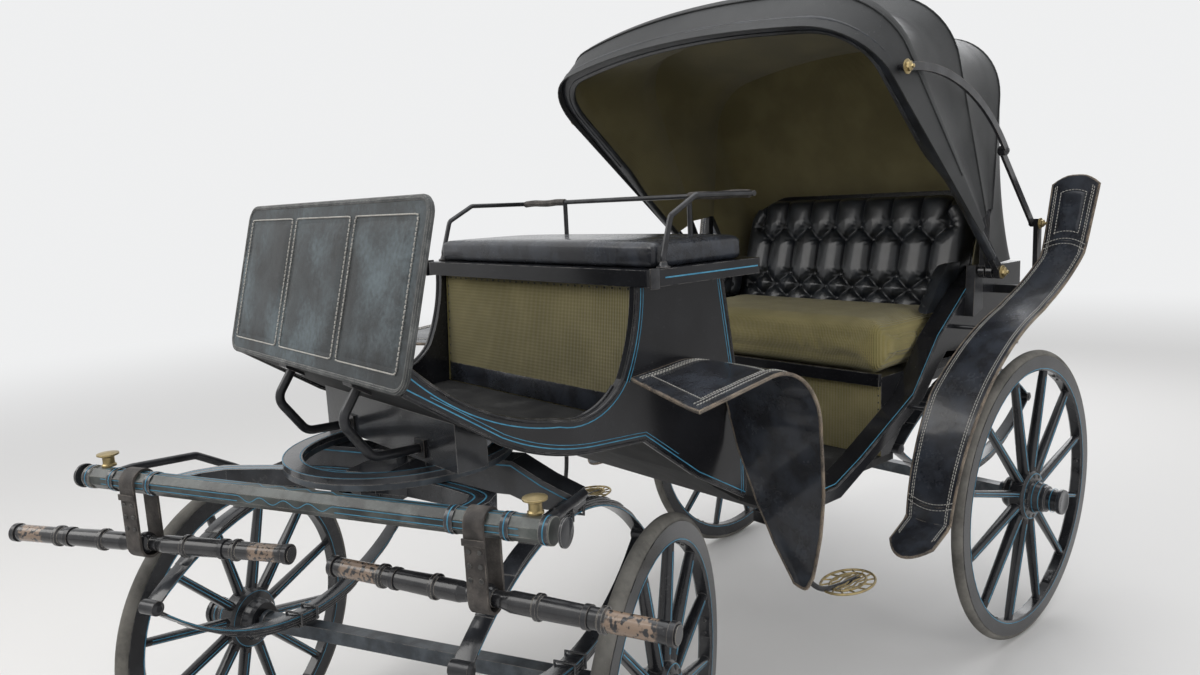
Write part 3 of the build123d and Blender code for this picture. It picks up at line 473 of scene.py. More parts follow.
IRON = Finish(
    "forged_iron", "iron", Surface.METAL, (0.016, 0.016, 0.018), (0.035, 0.036, 0.04), (0.22, 0.19, 0.165),
    GREY_DUST, 0.3, metallic=0.25, coat=0.3, bump=0.45, grain=120, wear=0.66, wear_radius=0.002, dusty=0.28,
    patch=8,
)
AXLE_PAINT = Finish(
    "axle_iron", "axle_iron", Surface.METAL, (0.03, 0.037, 0.046), (0.07, 0.085, 0.1), (0.24, 0.22, 0.2),
    GREY_DUST, 0.34, metallic=0.15, coat=0.25, bump=0.5, grain=110, wear=0.7, dusty=0.45, patch=9,
)
BAR_WOOD = Finish(
    "bar_wood", "wheel_paint", Surface.WOOD, (0.018, 0.02, 0.019), (0.07, 0.08, 0.075), (0.3, 0.29, 0.26),
    (0.2, 0.21, 0.2), 0.36, coat=0.15, bump=0.8, grain=45, wear=0.78, wear_radius=0.004, dusty=0.5, patch=7,
)
RUBBER = Finish(
    "tyre_rubber", "tyre", Surface.RUBBER, (0.075, 0.072, 0.066), (0.13, 0.125, 0.115),
    (0.22, 0.21, 0.19), (0.2, 0.19, 0.17), 0.85, bump=0.7, grain=45, wear=0.6, wear_radius=0.006, dusty=0.75,
    patch=6,
)
BRASS = Finish(
    "dull_brass", "brass", Surface.METAL, (0.42, 0.33, 0.165), (0.25, 0.195, 0.1), (0.68, 0.57, 0.34),
    (0.2, 0.17, 0.11), 0.36, metallic=0.85, bump=0.3, grain=150, wear=0.6, wear_radius=0.002, dusty=0.35,
    patch=20,
)
# Its bluish dust colour is partly dust and partly a painted bluish sheen on the black leather.
STITCHED_LEATHER = Finish(
    "guard_leather", "leather", Surface.LEATHER, (0.012, 0.013, 0.017), (0.03, 0.035, 0.046),
    (0.34, 0.28, 0.22), (0.095, 0.11, 0.135), 0.27, coat=0.4, bump=0.5, grain=420, wear=0.6, dusty=0.38,
    patch=7, creases=0.6,
)
GLOSSY_LEATHER = Finish(
    "tufted_leather", "leather", Surface.LEATHER, (0.008, 0.009, 0.011), (0.018, 0.021, 0.026),
    (0.05, 0.05, 0.055), (0.05, 0.055, 0.06), 0.3, coat=0.35, bump=0.35, grain=520, wear=0.3, dusty=0.14,
    patch=6, creases=0.25,
)
DASH_LEATHER = Finish(
    "dash_leather", "dash_leather", Surface.LEATHER, (0.010, 0.012, 0.013), (0.026, 0.032, 0.035),
    (0.34, 0.33, 0.3), (0.16, 0.2, 0.22), 0.46, coat=0.1, bump=0.6, grain=380, wear=0.6, wear_radius=0.004,
    dusty=0.62, patch=6.5, creases=0.3,
)
DASH_EDGE = Finish(
    "dash_binding", "dash_leather", Surface.LEATHER, (0.03, 0.033, 0.034), (0.08, 0.083, 0.082),
    (0.5, 0.48, 0.44), (0.22, 0.23, 0.23), 0.5, bump=0.5, grain=500, wear=0.8, wear_radius=0.004, dusty=0.5,
    patch=14, creases=0.3,
)
TAN_EDGE = Finish(
    "worn_binding", "leather", Surface.LEATHER, (0.03, 0.028, 0.027), (0.13, 0.1, 0.075), (0.45, 0.36, 0.27),
    (0.3, 0.26, 0.21), 0.55, bump=0.5, grain=600, wear=0.85, wear_radius=0.003, dusty=0.6, patch=16,
    creases=0.3,
)
STRAP_LEATHER = Finish(
    "strap_leather", "strap_leather", Surface.LEATHER, (0.035, 0.031, 0.029), (0.075, 0.066, 0.06),
    (0.25, 0.22, 0.19), (0.19, 0.175, 0.16), 0.55, bump=0.8, grain=330, wear=0.6, dusty=0.5, patch=14,
    creases=0.8,
)
# Base lighter than the other black leathers: partly the hood's dull leather, partly a painted reflection of
# the side lamp, which gloss does not see.
HOOD_LEATHER = Finish(
    "hood_leather", "hood_leather", Surface.LEATHER, (0.02, 0.021, 0.022), (0.034, 0.035, 0.036),
    (0.13, 0.13, 0.125), (0.085, 0.087, 0.087), 0.48, bump=0.25, grain=520, wear=0.45, dusty=0.42, patch=2.2,
    creases=0.12,
)
RIM_LEATHER = Finish(
    "rim_leather", "hood_leather", Surface.LEATHER, (0.01, 0.011, 0.013), (0.022, 0.025, 0.031),
    (0.14, 0.15, 0.16), (0.1, 0.115, 0.135), 0.32, coat=0.25, bump=0.4, grain=480, wear=0.6, dusty=0.34,
    patch=7, creases=0.4,
)
KHAKI = Finish(
    "khaki_cloth", "khaki", Surface.CLOTH, (0.20, 0.17, 0.062), (0.26, 0.22, 0.09), (0.36, 0.32, 0.17),
    (0.3, 0.26, 0.13), 0.9, bump=1.0, grain=170, wear=0.2, dusty=0.2, patch=4,
)
# The seat's khaki darkened for the lining: painted shade of the hood over it.
SHADED_KHAKI_LINING = Finish(
    "shaded_khaki_lining", "khaki", Surface.CLOTH, (0.135, 0.115, 0.05), (0.175, 0.15, 0.068), (0.22, 0.19, 0.1),
    (0.17, 0.145, 0.075), 0.92, bump=0.5, grain=260, wear=0.1, dusty=0.2, patch=2.5, cords=Cords.OWN_MAP,
)
STRIPE = Finish(
    "blue_line", "wheel_paint", Surface.PAINT, (0.045, 0.22, 0.36), (0.085, 0.31, 0.46), (0.12, 0.22, 0.27),
    (0.1, 0.16, 0.19), 0.4, bump=0.1, grain=80, wear=0.2, dusty=0.42, patch=22,
)
THREAD = Finish(
    "pale_thread", "leather", Surface.CLOTH, (0.62, 0.6, 0.55), (0.48, 0.46, 0.42), (0.4, 0.38, 0.33),
    (0.2, 0.2, 0.19), 0.8, bump=0.2, grain=900, wear=0.2, dusty=0.4, patch=26,
)
NAIL = Finish(
    "dark_steel", "iron", Surface.METAL, (0.09, 0.088, 0.085), (0.05, 0.05, 0.05), (0.35, 0.33, 0.3),
    GREY_DUST, 0.4, metallic=0.7, bump=0.3, grain=200, wear=0.6, wear_radius=0.0015, dusty=0.25, patch=20,
)


# Modelling tools


def clear() -> None:
    """Leaves edit mode and deselects everything."""
    if bpy.context.mode != "OBJECT":
        bpy.ops.object.mode_set(mode="OBJECT")
    bpy.ops.object.select_all(action="DESELECT")


def activate(piece: Piece) -> None:
    """Makes a piece the only selected and active one."""
    clear()
    piece.select_set(True)
    bpy.context.view_layer.objects.active = piece


def named(name: str) -> Piece:
    """The active object under a new name."""
    piece = bpy.context.active_object
    piece.name = name
    piece.data.name = name
    return piece


def linked(name: str, data: bpy.types.ID) -> Piece:
    """A new object in the scene for a curve, lamp, camera or mesh."""
    piece = bpy.data.objects.new(name, data)
    bpy.context.scene.collection.objects.link(piece)
    return piece


def edit(piece: Piece) -> None:
    """Enters edit mode with all vertices selected."""
    activate(piece)
    bpy.ops.object.mode_set(mode="EDIT")
    bpy.ops.mesh.select_mode(type="VERT")
    bpy.ops.mesh.select_all(action="SELECT")


def settle(piece: Piece, merge: float = 0.00002) -> Piece:
    """Merges doubled points and turns all faces outward."""
    edit(piece)
    bpy.ops.mesh.remove_doubles(threshold=merge)
    bpy.ops.mesh.normals_make_consistent(inside=False)
    clear()
    return piece


def face_out(piece: Piece, away: Callable[[Vector], Vector]) -> None:
    """Flips an open sheet whose middle face looks the wrong way; away gives the right way at a point."""
    middle = piece.data.polygons[len(piece.data.polygons) // 2]
    if middle.normal.dot(away(middle.center)) < 0:
        flip(piece)


def flip(piece: Piece) -> None:
    """Turns every face over."""
    edit(piece)
    bpy.ops.mesh.flip_normals()
    clear()


def close(piece: Piece, push: Sequence[float] | None = None) -> None:
    """Closes an open skin.

    Args:
        piece: The skin.
        push: How far its border is drawn out first, or None to fill it where it is.
    """
    edit(piece)
    bpy.ops.mesh.select_all(action="DESELECT")
    bpy.ops.mesh.select_non_manifold()
    if push is not None:
        bpy.ops.mesh.extrude_region_move(TRANSFORM_OT_translate={"value": tuple(push)})
    bpy.ops.mesh.fill_holes(sides=0)
    bpy.ops.mesh.select_all(action="SELECT")
    bpy.ops.mesh.normals_make_consistent(inside=False)


def modify(piece: Piece, kind: str, **settings: object) -> Piece:
    """Adds a modifier and applies it.

    Args:
        piece: The mesh.
        kind: The modifier's type.
        settings: Its properties.

    Returns:
        The same mesh.
    """
    activate(piece)
    modifier = piece.modifiers.new(kind.lower(), kind)
    for key, value in settings.items():
        setattr(modifier, key, value)
    bpy.ops.object.modifier_apply(modifier=modifier.name)
    return piece


def grid(
    name: str,
    columns: int,
    rows: int,
    place: Callable[[float, float], Sequence[float]],
    size: Flat = (1.0, 1.0),
) -> Piece:
    """A grid primitive shaped by a rule.

    Args:
        name: The piece's name.
        columns: Faces along the first direction.
        rows: Faces along the second direction.
        place: Where the point at (u, v), each from 0 to 1, goes.
        size: Metres of cloth along each direction, for the piece's map.

    Returns:
        The new mesh.
    """
    clear()
    bpy.ops.mesh.primitive_grid_add(x_subdivisions=columns, y_subdivisions=rows, size=2)
    piece = named(name)
    for vertex in piece.data.vertices:
        vertex.co = place((vertex.co.x + 1) / 2, (vertex.co.y + 1) / 2)
    for loop in piece.data.uv_layers[0].data:
        loop.uv = (loop.uv.x * size[0], loop.uv.y * size[1])
    return piece


def outline(name: str, points: Points) -> Piece:
    """A flat face round the given points."""
    clear()
    bpy.ops.mesh.primitive_circle_add(vertices=len(points), fill_type="NGON")
    piece = named(name)
    for vertex, point in zip(piece.data.vertices, points):
        vertex.co = point
    return piece


def plate(
    name: str, points: Points, push: Sequence[float], bevel: float = 0.0
) -> Piece:
    """A board with a given outline.

    Args:
        name: The piece's name.
        points: Its outline.
        push: The way and distance that it is thick.
        bevel: Width of the rounding on its edges.

    Returns:
        The new mesh.
    """
    piece = outline(name, points)
    edit(piece)
    bpy.ops.mesh.extrude_region_move(TRANSFORM_OT_translate={"value": tuple(push)})
    clear()
    settle(piece)
    if bevel:
        modify(piece, "BEVEL", width=bevel, segments=2, limit_method="ANGLE", angle_limit=radians(40))
    return piece


def tubes(
    name: str,
    paths: Sequence[Points],
    radius: float,
    cyclic: bool = False,
    sides: int = 2,
    smooth: bool = False,
) -> Piece:
    """Round bars along paths, as one mesh.

    Args:
        name: The piece's name.
        paths: Points of each bar's middle.
        radius: The bars' radius.
        cyclic: Whether each closes on itself.
        sides: Roundness of the section.
        smooth: Whether the path is a smooth curve near its points.

    Returns:
        The new mesh.
    """
    clear()
    curve = bpy.data.curves.new(name, "CURVE")
    curve.dimensions = "3D"
    curve.bevel_depth = radius
    curve.bevel_resolution = sides
    curve.resolution_u = 5
    curve.use_fill_caps = True
    for path in paths:
        spline = curve.splines.new("NURBS" if smooth else "POLY")
        spline.points.add(len(path) - 1)
        for point, where in zip(spline.points, path):
            point.co = (*where, 1.0)
        spline.use_cyclic_u = cyclic
        if smooth:
            spline.order_u = 3
            spline.use_endpoint_u = not cyclic
    activate(linked(name, curve))
    bpy.ops.object.convert(target="MESH")
    return named(name)


def turned(
    name: str,
    profile: Sequence[Flat],
    centre: Sequence[float] = (0, 0, 0),
    axis: Sequence[float] = (0, 0, 1),
    steps: int = 24,
) -> Piece:
    """A turned piece, spun from its profile.

    Args:
        name: The piece's name.
        profile: Points as (distance along the axis, radius).
        centre: Where the distance along the axis is 0.
        axis: The axis.
        steps: Faces round it.

    Returns:
        The new mesh.
    """
    along = Vector(axis).normalized()
    out = along.orthogonal().normalized()
    middle = Vector(centre)
    points = [middle + along * reach + out * max(radius, 1e-6) for reach, radius in profile]
    clear()
    bpy.ops.mesh.primitive_circle_add(vertices=len(points), fill_type="NOTHING")
    piece = named(name)
    for vertex, point in zip(piece.data.vertices, points):
        vertex.co = point
    last = {0, len(points) - 1}
    activate(piece)
    bpy.ops.object.mode_set(mode="EDIT")
    bpy.ops.mesh.select_mode(type="EDGE")
    bpy.ops.mesh.select_all(action="DESELECT")
    bpy.ops.object.mode_set(mode="OBJECT")
    for edge in piece.data.edges:
        edge.select = set(edge.vertices) == last
    bpy.ops.object.mode_set(mode="EDIT")
    bpy.ops.mesh.delete(type="EDGE")
    bpy.ops.mesh.select_mode(type="VERT")
    bpy.ops.mesh.select_all(action="SELECT")
    bpy.ops.mesh.spin(steps=steps, angle=tau, center=middle, axis=along)
    clear()
    return settle(piece)


def band(start: float, end: float, inner: float, outer: float) -> tuple[Flat, ...]:
    """Closed profile of a band between two distances along its axis and two radii."""
    return ((start, inner), (end, inner), (end, outer), (start, outer), (start, inner))


def spread(name: str, source: Piece, moves: Sequence[Matrix]) -> Piece:
    """Copies of one mesh at several places, joined; the first mesh goes.

    Args:
        name: The joined piece's name.
        source: A mesh modelled at the origin.
        moves: The place of each copy.

    Returns:
        The joined mesh.
    """
    copies = []
    for move in moves:
        copy = source.copy()
        copy.data = source.data.copy()
        copy.data.transform(move)
        bpy.context.scene.collection.objects.link(copy)
        copies.append(copy)
    bpy.data.objects.remove(source)
    return joined(name, copies)


def joined(name: str, pieces: Sequence[Piece]) -> Piece:
    """Several meshes as one."""
    clear()
    for piece in pieces:
        piece.select_set(True)
    bpy.context.view_layer.objects.active = pieces[0]
    if len(pieces) > 1:
        bpy.ops.object.join()
    return named(name)


def facing(place: Sequence[float], way: Sequence[float], spin: float = 0.0) -> Matrix:
    """Matrix that stands a copy, modelled up +Z, at a place and along a way."""
    turn = Vector(way).to_track_quat("Z", "Y").to_matrix().to_4x4()
    return Matrix.Translation(Vector(place)) @ turn @ Matrix.Rotation(spin, 4, "Z")


def dress(
    piece: Piece, finish: Finish, body: Body | None, angle: float = 35.0
) -> Piece:
    """Gives a piece its finish, smooth shading and body.

    Args:
        piece: The mesh, in place.
        finish: Its finish.
        body: The body that it rides on, or None to attach it to none.
        angle: Edges sharper than this stay sharp.

    Returns:
        The same mesh.
    """
    activate(piece)
    piece.data.materials.clear()
    piece.data.materials.append(finish.material())
    bpy.ops.object.shade_smooth_by_angle(angle=radians(angle))
    if body is not None:
        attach(piece, body)
    clear()
    LOG.info("made %s", piece.name)
    return piece


def repaint(finish: Finish, *nodes: str) -> None:
    """Gives CAD nodes a finish."""
    for node in nodes:
        slots = frame["nodes"][node].data.materials
        slots.clear()
        slots.append(finish.material())


def along(path: Sequence[Vector], step: float, closed: bool = False) -> list[tuple[Vector, Vector]]:
    """Places and directions at even steps along a path.

    Args:
        path: Points of the path.
        step: Distance between places, fitted to the length.
        closed: Whether it runs back to its start.

    Returns:
        Pairs of place and direction.
    """
    points = [Vector(point) for point in path]
    if closed:
        points.append(points[0])
    spans = [(b - a).length for a, b in zip(points, points[1:])]
    total = sum(spans)
    count = max(1, round(total / step))
    found = []
    index, passed = 0, 0.0
    for number in range(count + (0 if closed else 1)):
        goal = min(total * number / count, total - 1e-9)
        while passed + spans[index] < goal:
            passed += spans[index]
            index += 1
        a, b = points[index], points[index + 1]
        share = (goal - passed) / spans[index]
        found.append((a.lerp(b, share), (b - a).normalized()))
    return found


def stitch_row(
    name: str,
    rows: Sequence[tuple[Sequence[Vector], Sequence[Vector]]],
    body: Body,
    step: float = 0.009,
    closed: bool = False,
    thick: float = 0.0007,
) -> Piece:
    """Rows of stitches that lie on leather.

    Args:
        name: The piece's name.
        rows: For each row its points, and the leather's outward normal at each.
        body: The body that it rides on.
        step: Distance between stitches.
        closed: Whether the rows close on themselves.
        thick: Radius of the thread.

    Returns:
        The stitches as one mesh.
    """
    paths = []
    for points, normals in rows:
        lifted = [Vector(point) + Vector(normal) * 0.0003 for point, normal in zip(points, normals)]
        places = along(lifted, step, closed)
        for number, (place, way) in enumerate(places):
            share = number / max(1, len(places) - 1) * (len(normals) - 1)
            normal = Vector(normals[min(round(share), len(normals) - 1)])
            half = way * step * 0.34
            rise = normal * thick * 0.9
            paths.append((place - half, place - half * 0.5 + rise, place + half * 0.5 + rise, place + half))
    return dress(tubes(name, paths, thick, sides=0), THREAD, body)


def ribbon(name: str, path: Sequence[Vector], normal: Vector, width: float, body: Body) -> None:
    """A painted line, as a thin strip on a flat surface.

    Args:
        name: The piece's name.
        path: Points of the line.
        normal: The surface's outward normal.
        width: The line's width.
        body: The body that it rides on.
    """
    last = len(path) - 1

    def place(u: float, v: float) -> Vector:
        """Point of the strip: u along it, v across it."""
        index = round(u * last)
        way = path[min(index + 1, last)] - path[max(index - 1, 0)]
        return path[index] + way.cross(normal).normalized() * (v - 0.5) * width + normal * LINE_LIFT

    piece = modify(grid(name, last, 1, place), "SOLIDIFY", thickness=PAINT_THICK, offset=1.0)
    dress(piece, STRIPE, body)


def painted(strip: Piece) -> Piece:
    """A strip given the thickness of paint on both its sides."""
    return modify(strip, "SOLIDIFY", thickness=PAINT_THICK, offset=0.0)


def arc(centre: Flat, radius: float, start: float, end: float, count: int) -> list[Flat]:
    """Points of an arc; angles in degrees."""
    steps = [radians(start + (end - start) * number / (count - 1)) for number in range(count)]
    return [(centre[0] + radius * cos(a), centre[1] + radius * sin(a)) for a in steps]


def through(first: Flat, middle: Flat, last: Flat, count: int) -> list[Flat]:
    """Points of the arc through three points."""
    a, b, c = (complex(*point) for point in (first, middle, last))
    w = (c - a) / (b - a)
    centre = (b - a) * (w - abs(w) ** 2) / (2j * w.imag) + a
    radius = abs(a - centre)
    begin, halfway, end = (atan2((p - centre).imag, (p - centre).real) for p in (a, b, c))
    sweep = (end - begin) % tau
    if (halfway - begin) % tau > sweep:
        sweep -= tau
    turns = [begin + sweep * number / (count - 1) for number in range(count)]
    return [(centre.real + radius * cos(t), centre.imag + radius * sin(t)) for t in turns]


def corners(half_x: float, half_y: float, z: float = 0.0) -> list[Point]:
    """Corners of a level rectangle round the z axis."""
    return [(-half_x, -half_y, z), (half_x, -half_y, z), (half_x, half_y, z), (-half_x, half_y, z)]


def rounded_box(left: float, right: float, low: float, high: float, corner: float, count: int) -> list[Flat]:
    """Outline of a rectangle with round corners.

    Args:
        left: Least first number of the corners' centres.
        right: Greatest first number of them.
        low: Least second number of them.
        high: Greatest second number of them.
        corner: The corners' radius.
        count: Points of each corner.

    Returns:
        The outline, from the far right corner round to the left.
    """
    line = []
    for centre, begin in (((right, high), 0), ((left, high), 90), ((left, low), 180), ((right, low), 270)):
        line += arc(centre, corner, begin, begin + 90, count)
    return line


def ease(value: float) -> float:
    """Smooth step from 0 to 1."""
    value = min(1.0, max(0.0, value))
    return value * value * (3 - 2 * value)


# Sub-assemblies


@dataclass
class Studio:
    """Floor, light and the photograph's camera."""

    eye: Point = (2.982, 1.917, 1.581)
    yaw: float = -130.61
    pitch: float = -8.904
    roll: float = -2.774
    lens: float = 26.06
    floor_size: float = 60.0
    floor_tint: Colour = (0.70, 0.69, 0.68)
    backdrop: Colour = (0.86, 0.865, 0.87)

    def build(self) -> None:
        """Makes the floor, the lamps, the world and the camera."""
        self.floor()
        self.lamps()
        self.world()
        self.camera()
        bpy.context.scene.view_settings.view_transform = "Standard"

    def floor(self) -> None:
        """A plain pale floor that runs out of sight and fades into the backdrop."""
        clear()
        bpy.ops.mesh.primitive_grid_add(x_subdivisions=4, y_subdivisions=4, size=self.floor_size)
        piece = named("floor")
        material = bpy.data.materials.new("pale_floor")
        material.use_nodes = True
        shader = material.node_tree.nodes["Principled BSDF"]
        shader.inputs["Base Color"].default_value = (*self.floor_tint, 1)
        shader.inputs["Roughness"].default_value = 0.75
        wires = Wires(material.node_tree)
        reach = wires.vector("LENGTH", wires.add("TexCoord").outputs["Object"], output="Value")
        path = wires.add("LightPath")
        glow = wires.add("Emission")
        wires.put(glow.inputs["Color"], self.backdrop)
        mix = wires.add("MixShader")
        wires.put(mix.inputs[0], wires.times(wires.between(reach, 3.0, 11.0), path.outputs["Is Camera Ray"]))
        wires.put(mix.inputs[1], shader.outputs["BSDF"])
        wires.put(mix.inputs[2], glow.outputs["Emission"])
        wires.put(material.node_tree.nodes["Material Output"].inputs["Surface"], mix.outputs["Shader"])
        piece.data.materials.append(material)

    def lamps(self) -> None:
        """Large soft lamps: a key at the front, a wide top light, a side fill and a back light."""
        lamps = (
            ("key", (4.6, -1.8, 4.2), 3.2, 105.0, (1.0, 0.985, 0.96)),
            ("top", (0.6, 0.4, 5.2), 4.5, 95.0, (0.96, 0.98, 1.0)),
            ("side", (1.2, 5.2, 2.2), 2.6, 70.0, (1.0, 1.0, 1.0)),
            ("back", (-4.2, -1.2, 3.4), 2.6, 60.0, (0.97, 0.98, 1.0)),
        )
        for name, place, size, power, tint in lamps:
            light = bpy.data.lights.new(name, "AREA")
            light.shape = "SQUARE"
            light.size = size
            light.energy = power
            light.color = tint
            lamp = linked(name, light)
            lamp.location = place
            way = Vector((0.9, 0, 0.9)) - Vector(place)
            lamp.rotation_euler = way.to_track_quat("-Z", "Y").to_euler()
            lamp.visible_glossy = name != "side"

    def world(self) -> None:
        """Even pale surroundings, at full strength where the camera, a gloss or a pane sees them."""
        world = bpy.data.worlds.new("studio")
        world.use_nodes = True
        bpy.context.scene.world = world
        wires = Wires(world.node_tree)
        sky = world.node_tree.nodes["Background"]
        path = wires.add("LightPath")
        seen = wires.math("MAXIMUM", path.outputs["Is Camera Ray"], path.outputs["Is Transmission Ray"])
        wires.put(sky.inputs["Color"], self.backdrop)
        seen = wires.math("MAXIMUM", seen, path.outputs["Is Glossy Ray"])
        wires.put(sky.inputs["Strength"], wires.math("MULTIPLY_ADD", seen, 0.25, 0.75))

    def camera(self) -> None:
        """The camera that took the photograph."""
        yaw, pitch, roll = (radians(angle) for angle in (self.yaw, self.pitch, self.roll))
        ahead = Vector((cos(yaw) * cos(pitch), sin(yaw) * cos(pitch), sin(pitch)))
        right = Vector((sin(yaw), -cos(yaw), 0))
        up = right.cross(ahead)
        across = right * cos(roll) + up * sin(roll)
        above = up * cos(roll) - right * sin(roll)
        data = bpy.data.cameras.new("camera")
        data.lens = self.lens
        data.sensor_width = 36
        data.clip_start = 0.02
        camera = linked("camera", data)
        turn = Matrix((across, above, -ahead)).transposed().to_4x4()
        camera.matrix_world = Matrix.Translation(Vector(self.eye)) @ turn
        bpy.context.scene.camera = camera


@dataclass
class Bow:
    """One bow of the hood."""

    angle: float
    half: float
    shoulder: float


@dataclass
class Hood:
    """The folding hood: leather over bows, cloth lining and padded rim; angles are in degrees."""

    pivot: Flat = (0.190, 1.296)
    front: Bow = field(default_factory=lambda: Bow(45, 0.645, 1.040))
    middle: Bow = field(default_factory=lambda: Bow(64, 0.620, 0.862))
    rear: Bow = field(default_factory=lambda: Bow(92, 0.595, 0.712))
    leg: float = 0.019
    corner: float = 0.190
    rise: float = 0.070
    skirt: float = 0.200
    leather: float = 0.005
    mouth: float = 42.6
    hem: Bow = field(default_factory=lambda: Bow(177, 0.5575, 0.305))
    hem_corner: float = 0.060
    hem_start: float = 0.060

    def line(self, bow: Bow, grow: float, start: float, corner: float, count: int) -> list[Flat]:
        """A bow's outline in its own plane.

        Args:
            bow: The bow.
            grow: How far outside its inner line.
            start: Radius where the legs begin.
            corner: Radius of the inner line's corners.
            count: Number of points.

        Returns:
            Evenly spaced (y, radius) points from the right leg to the left.
        """
        half = bow.half - self.leg / 2
        knee = bow.shoulder + 0.027 - corner * sin(radians(80))
        legs = [Vector((half + grow, start + (knee - start) * n / 12, 0)) for n in range(12)]
        bend = [Vector((y, r, 0)) for y, r in arc((half - corner, knee), corner + grow, 0, 80, 14)]
        hip = bend[-1]
        top = through((hip.x, hip.y), (0.0, bow.shoulder + self.rise + grow), (-hip.x, hip.y), 41)
        crown = [Vector((y, r, 0)) for y, r in top[1:21]]
        side = legs + bend + crown
        whole = [Vector((-p.x, p.y, 0)) for p in side] + [Vector((p.x, p.y, 0)) for p in reversed(side[:-1])]
        lengths = [0.0]
        for a, b in zip(whole, whole[1:]):
            lengths.append(lengths[-1] + (b - a).length)
        found, index = [], 0
        for number in range(count):
            goal = lengths[-1] * number / (count - 1)
            while index < len(lengths) - 2 and lengths[index + 1] < goal:
                index += 1
            share = (goal - lengths[index]) / (lengths[index + 1] - lengths[index])
            point = whole[index].lerp(whole[index + 1], min(1.0, share))
            found.append((point.x, point.y))
        return found

    def raised(self, angle: float, y: float, radius: float, ahead: float = 0.0) -> Vector:
        """Point of the hood in the shared frame.

        Args:
            angle: Angle of the plane through the pivot, from level.
            y: Distance to the left.
            radius: Distance from the pivot.
            ahead: Distance in front of that plane.

        Returns:
            The point.
        """
        lift = radians(angle)
        return Vector((
            self.pivot[0] + radius * cos(lift) + ahead * sin(lift),
            y,
            self.pivot[1] + radius * sin(lift) - ahead * cos(lift),
        ))

    def vault(
        self, name: str, stations: Stations, grow: float, sag: float, rows: int
    ) -> Piece:
        """A sheet stretched over the bows.

        Args:
            name: The sheet's name.
            stations: Bow and plane angle of each section, from the front.
            grow: How far outside the bows' inner lines.
            sag: How far it hollows between them.
            rows: Faces from front to back.

        Returns:
            The sheet.
        """
        count = 97
        ends = []
        for bow, angle in stations:
            hem = bow is self.hem
            corner = self.hem_corner if hem else self.corner
            start = self.hem_start if hem else self.skirt
            reach = grow - (self.leg if hem else 0.0)
            ends.append([self.raised(angle, y, r) for y, r in self.line(bow, reach, start, corner, count)])
        centre = Vector((self.pivot[0], 0, self.pivot[1]))

        def place(u: float, v: float) -> Vector:
            """Point across the hood at u and from front to back at v."""
            index = round(u * (count - 1))
            goal = stations[0][1] + (stations[-1][1] - stations[0][1]) * v
            part = 0
            while part < len(stations) - 2 and stations[part + 1][1] < goal:
                part += 1
            low, high = stations[part][1], stations[part + 1][1]
            share = min(1.0, max(0.0, (goal - low) / (high - low)))
            point = ends[part][index].lerp(ends[part + 1][index], share)
            inward = centre - point
            side = 1 - abs(2 * u - 1) ** 6
            free = stations[part][0] is not stations[part + 1][0]
            hollow = sag * max(0.0, sin(pi * share)) ** 0.8 * (0.35 + 0.65 * side) if free else 0.0
            return point + inward.normalized() * hollow

        width = sum((b - a).length for a, b in zip(ends[0], ends[0][1:]))
        length = (ends[-1][count // 2] - ends[0][count // 2]).length
        return grid(name, count - 1, rows, place, (width, length))

    def skin(
        self, name: str, stations: Stations, free: Flat, sag: float, rows: int,
        bodies: tuple[str, str], node: str | None, grow: float, finish: Finish, thick: float,
    ) -> None:
        """One sheet of leather or lining, made thick; it rides on no body.

        Args:
            name: The piece's name.
            stations: Bow and plane angle of each section, from the front.
            free: Plane angles between which it leaves one bow for the next.
            sag: How far it hollows between them.
            rows: Faces from front to back.
            bodies: The body at its back and the body at its front; not used.
            node: The CAD node that it stands for, or None.
            grow: How far its outside lies outside the bows' inner lines.
            finish: Leather or cloth.
            thick: Its thickness.
        """
        piece = self.vault(name, stations, grow, sag, rows)
        settle(piece)
        face_out(piece, lambda point: point - Vector((self.pivot[0], 0, self.pivot[1])))
        modify(piece, "SOLIDIFY", thickness=thick, offset=-1.0)
        dress(piece, finish, None)
        reach = 0.36 if stations[-1][0] is self.hem else 0.42
        start = self.raised(free[1], 0, reach)
        end = self.raised(free[0], 0, reach)
        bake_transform(piece)
        if node is not None:
            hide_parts(node)

    def build(self) -> None:
        """Makes the sheets, rim and welts."""
        outer = self.leg + 0.0005 + self.leather
        over_front = ((self.front, 40.8), (self.front, 48.8), (self.middle, 60.5), (self.middle, 68.0))
        over_mid = ((self.middle, 68.0), (self.rear, 88.2), (self.rear, 96.0))
        down_back = ((self.rear, 96.0), (self.hem, 177.0))
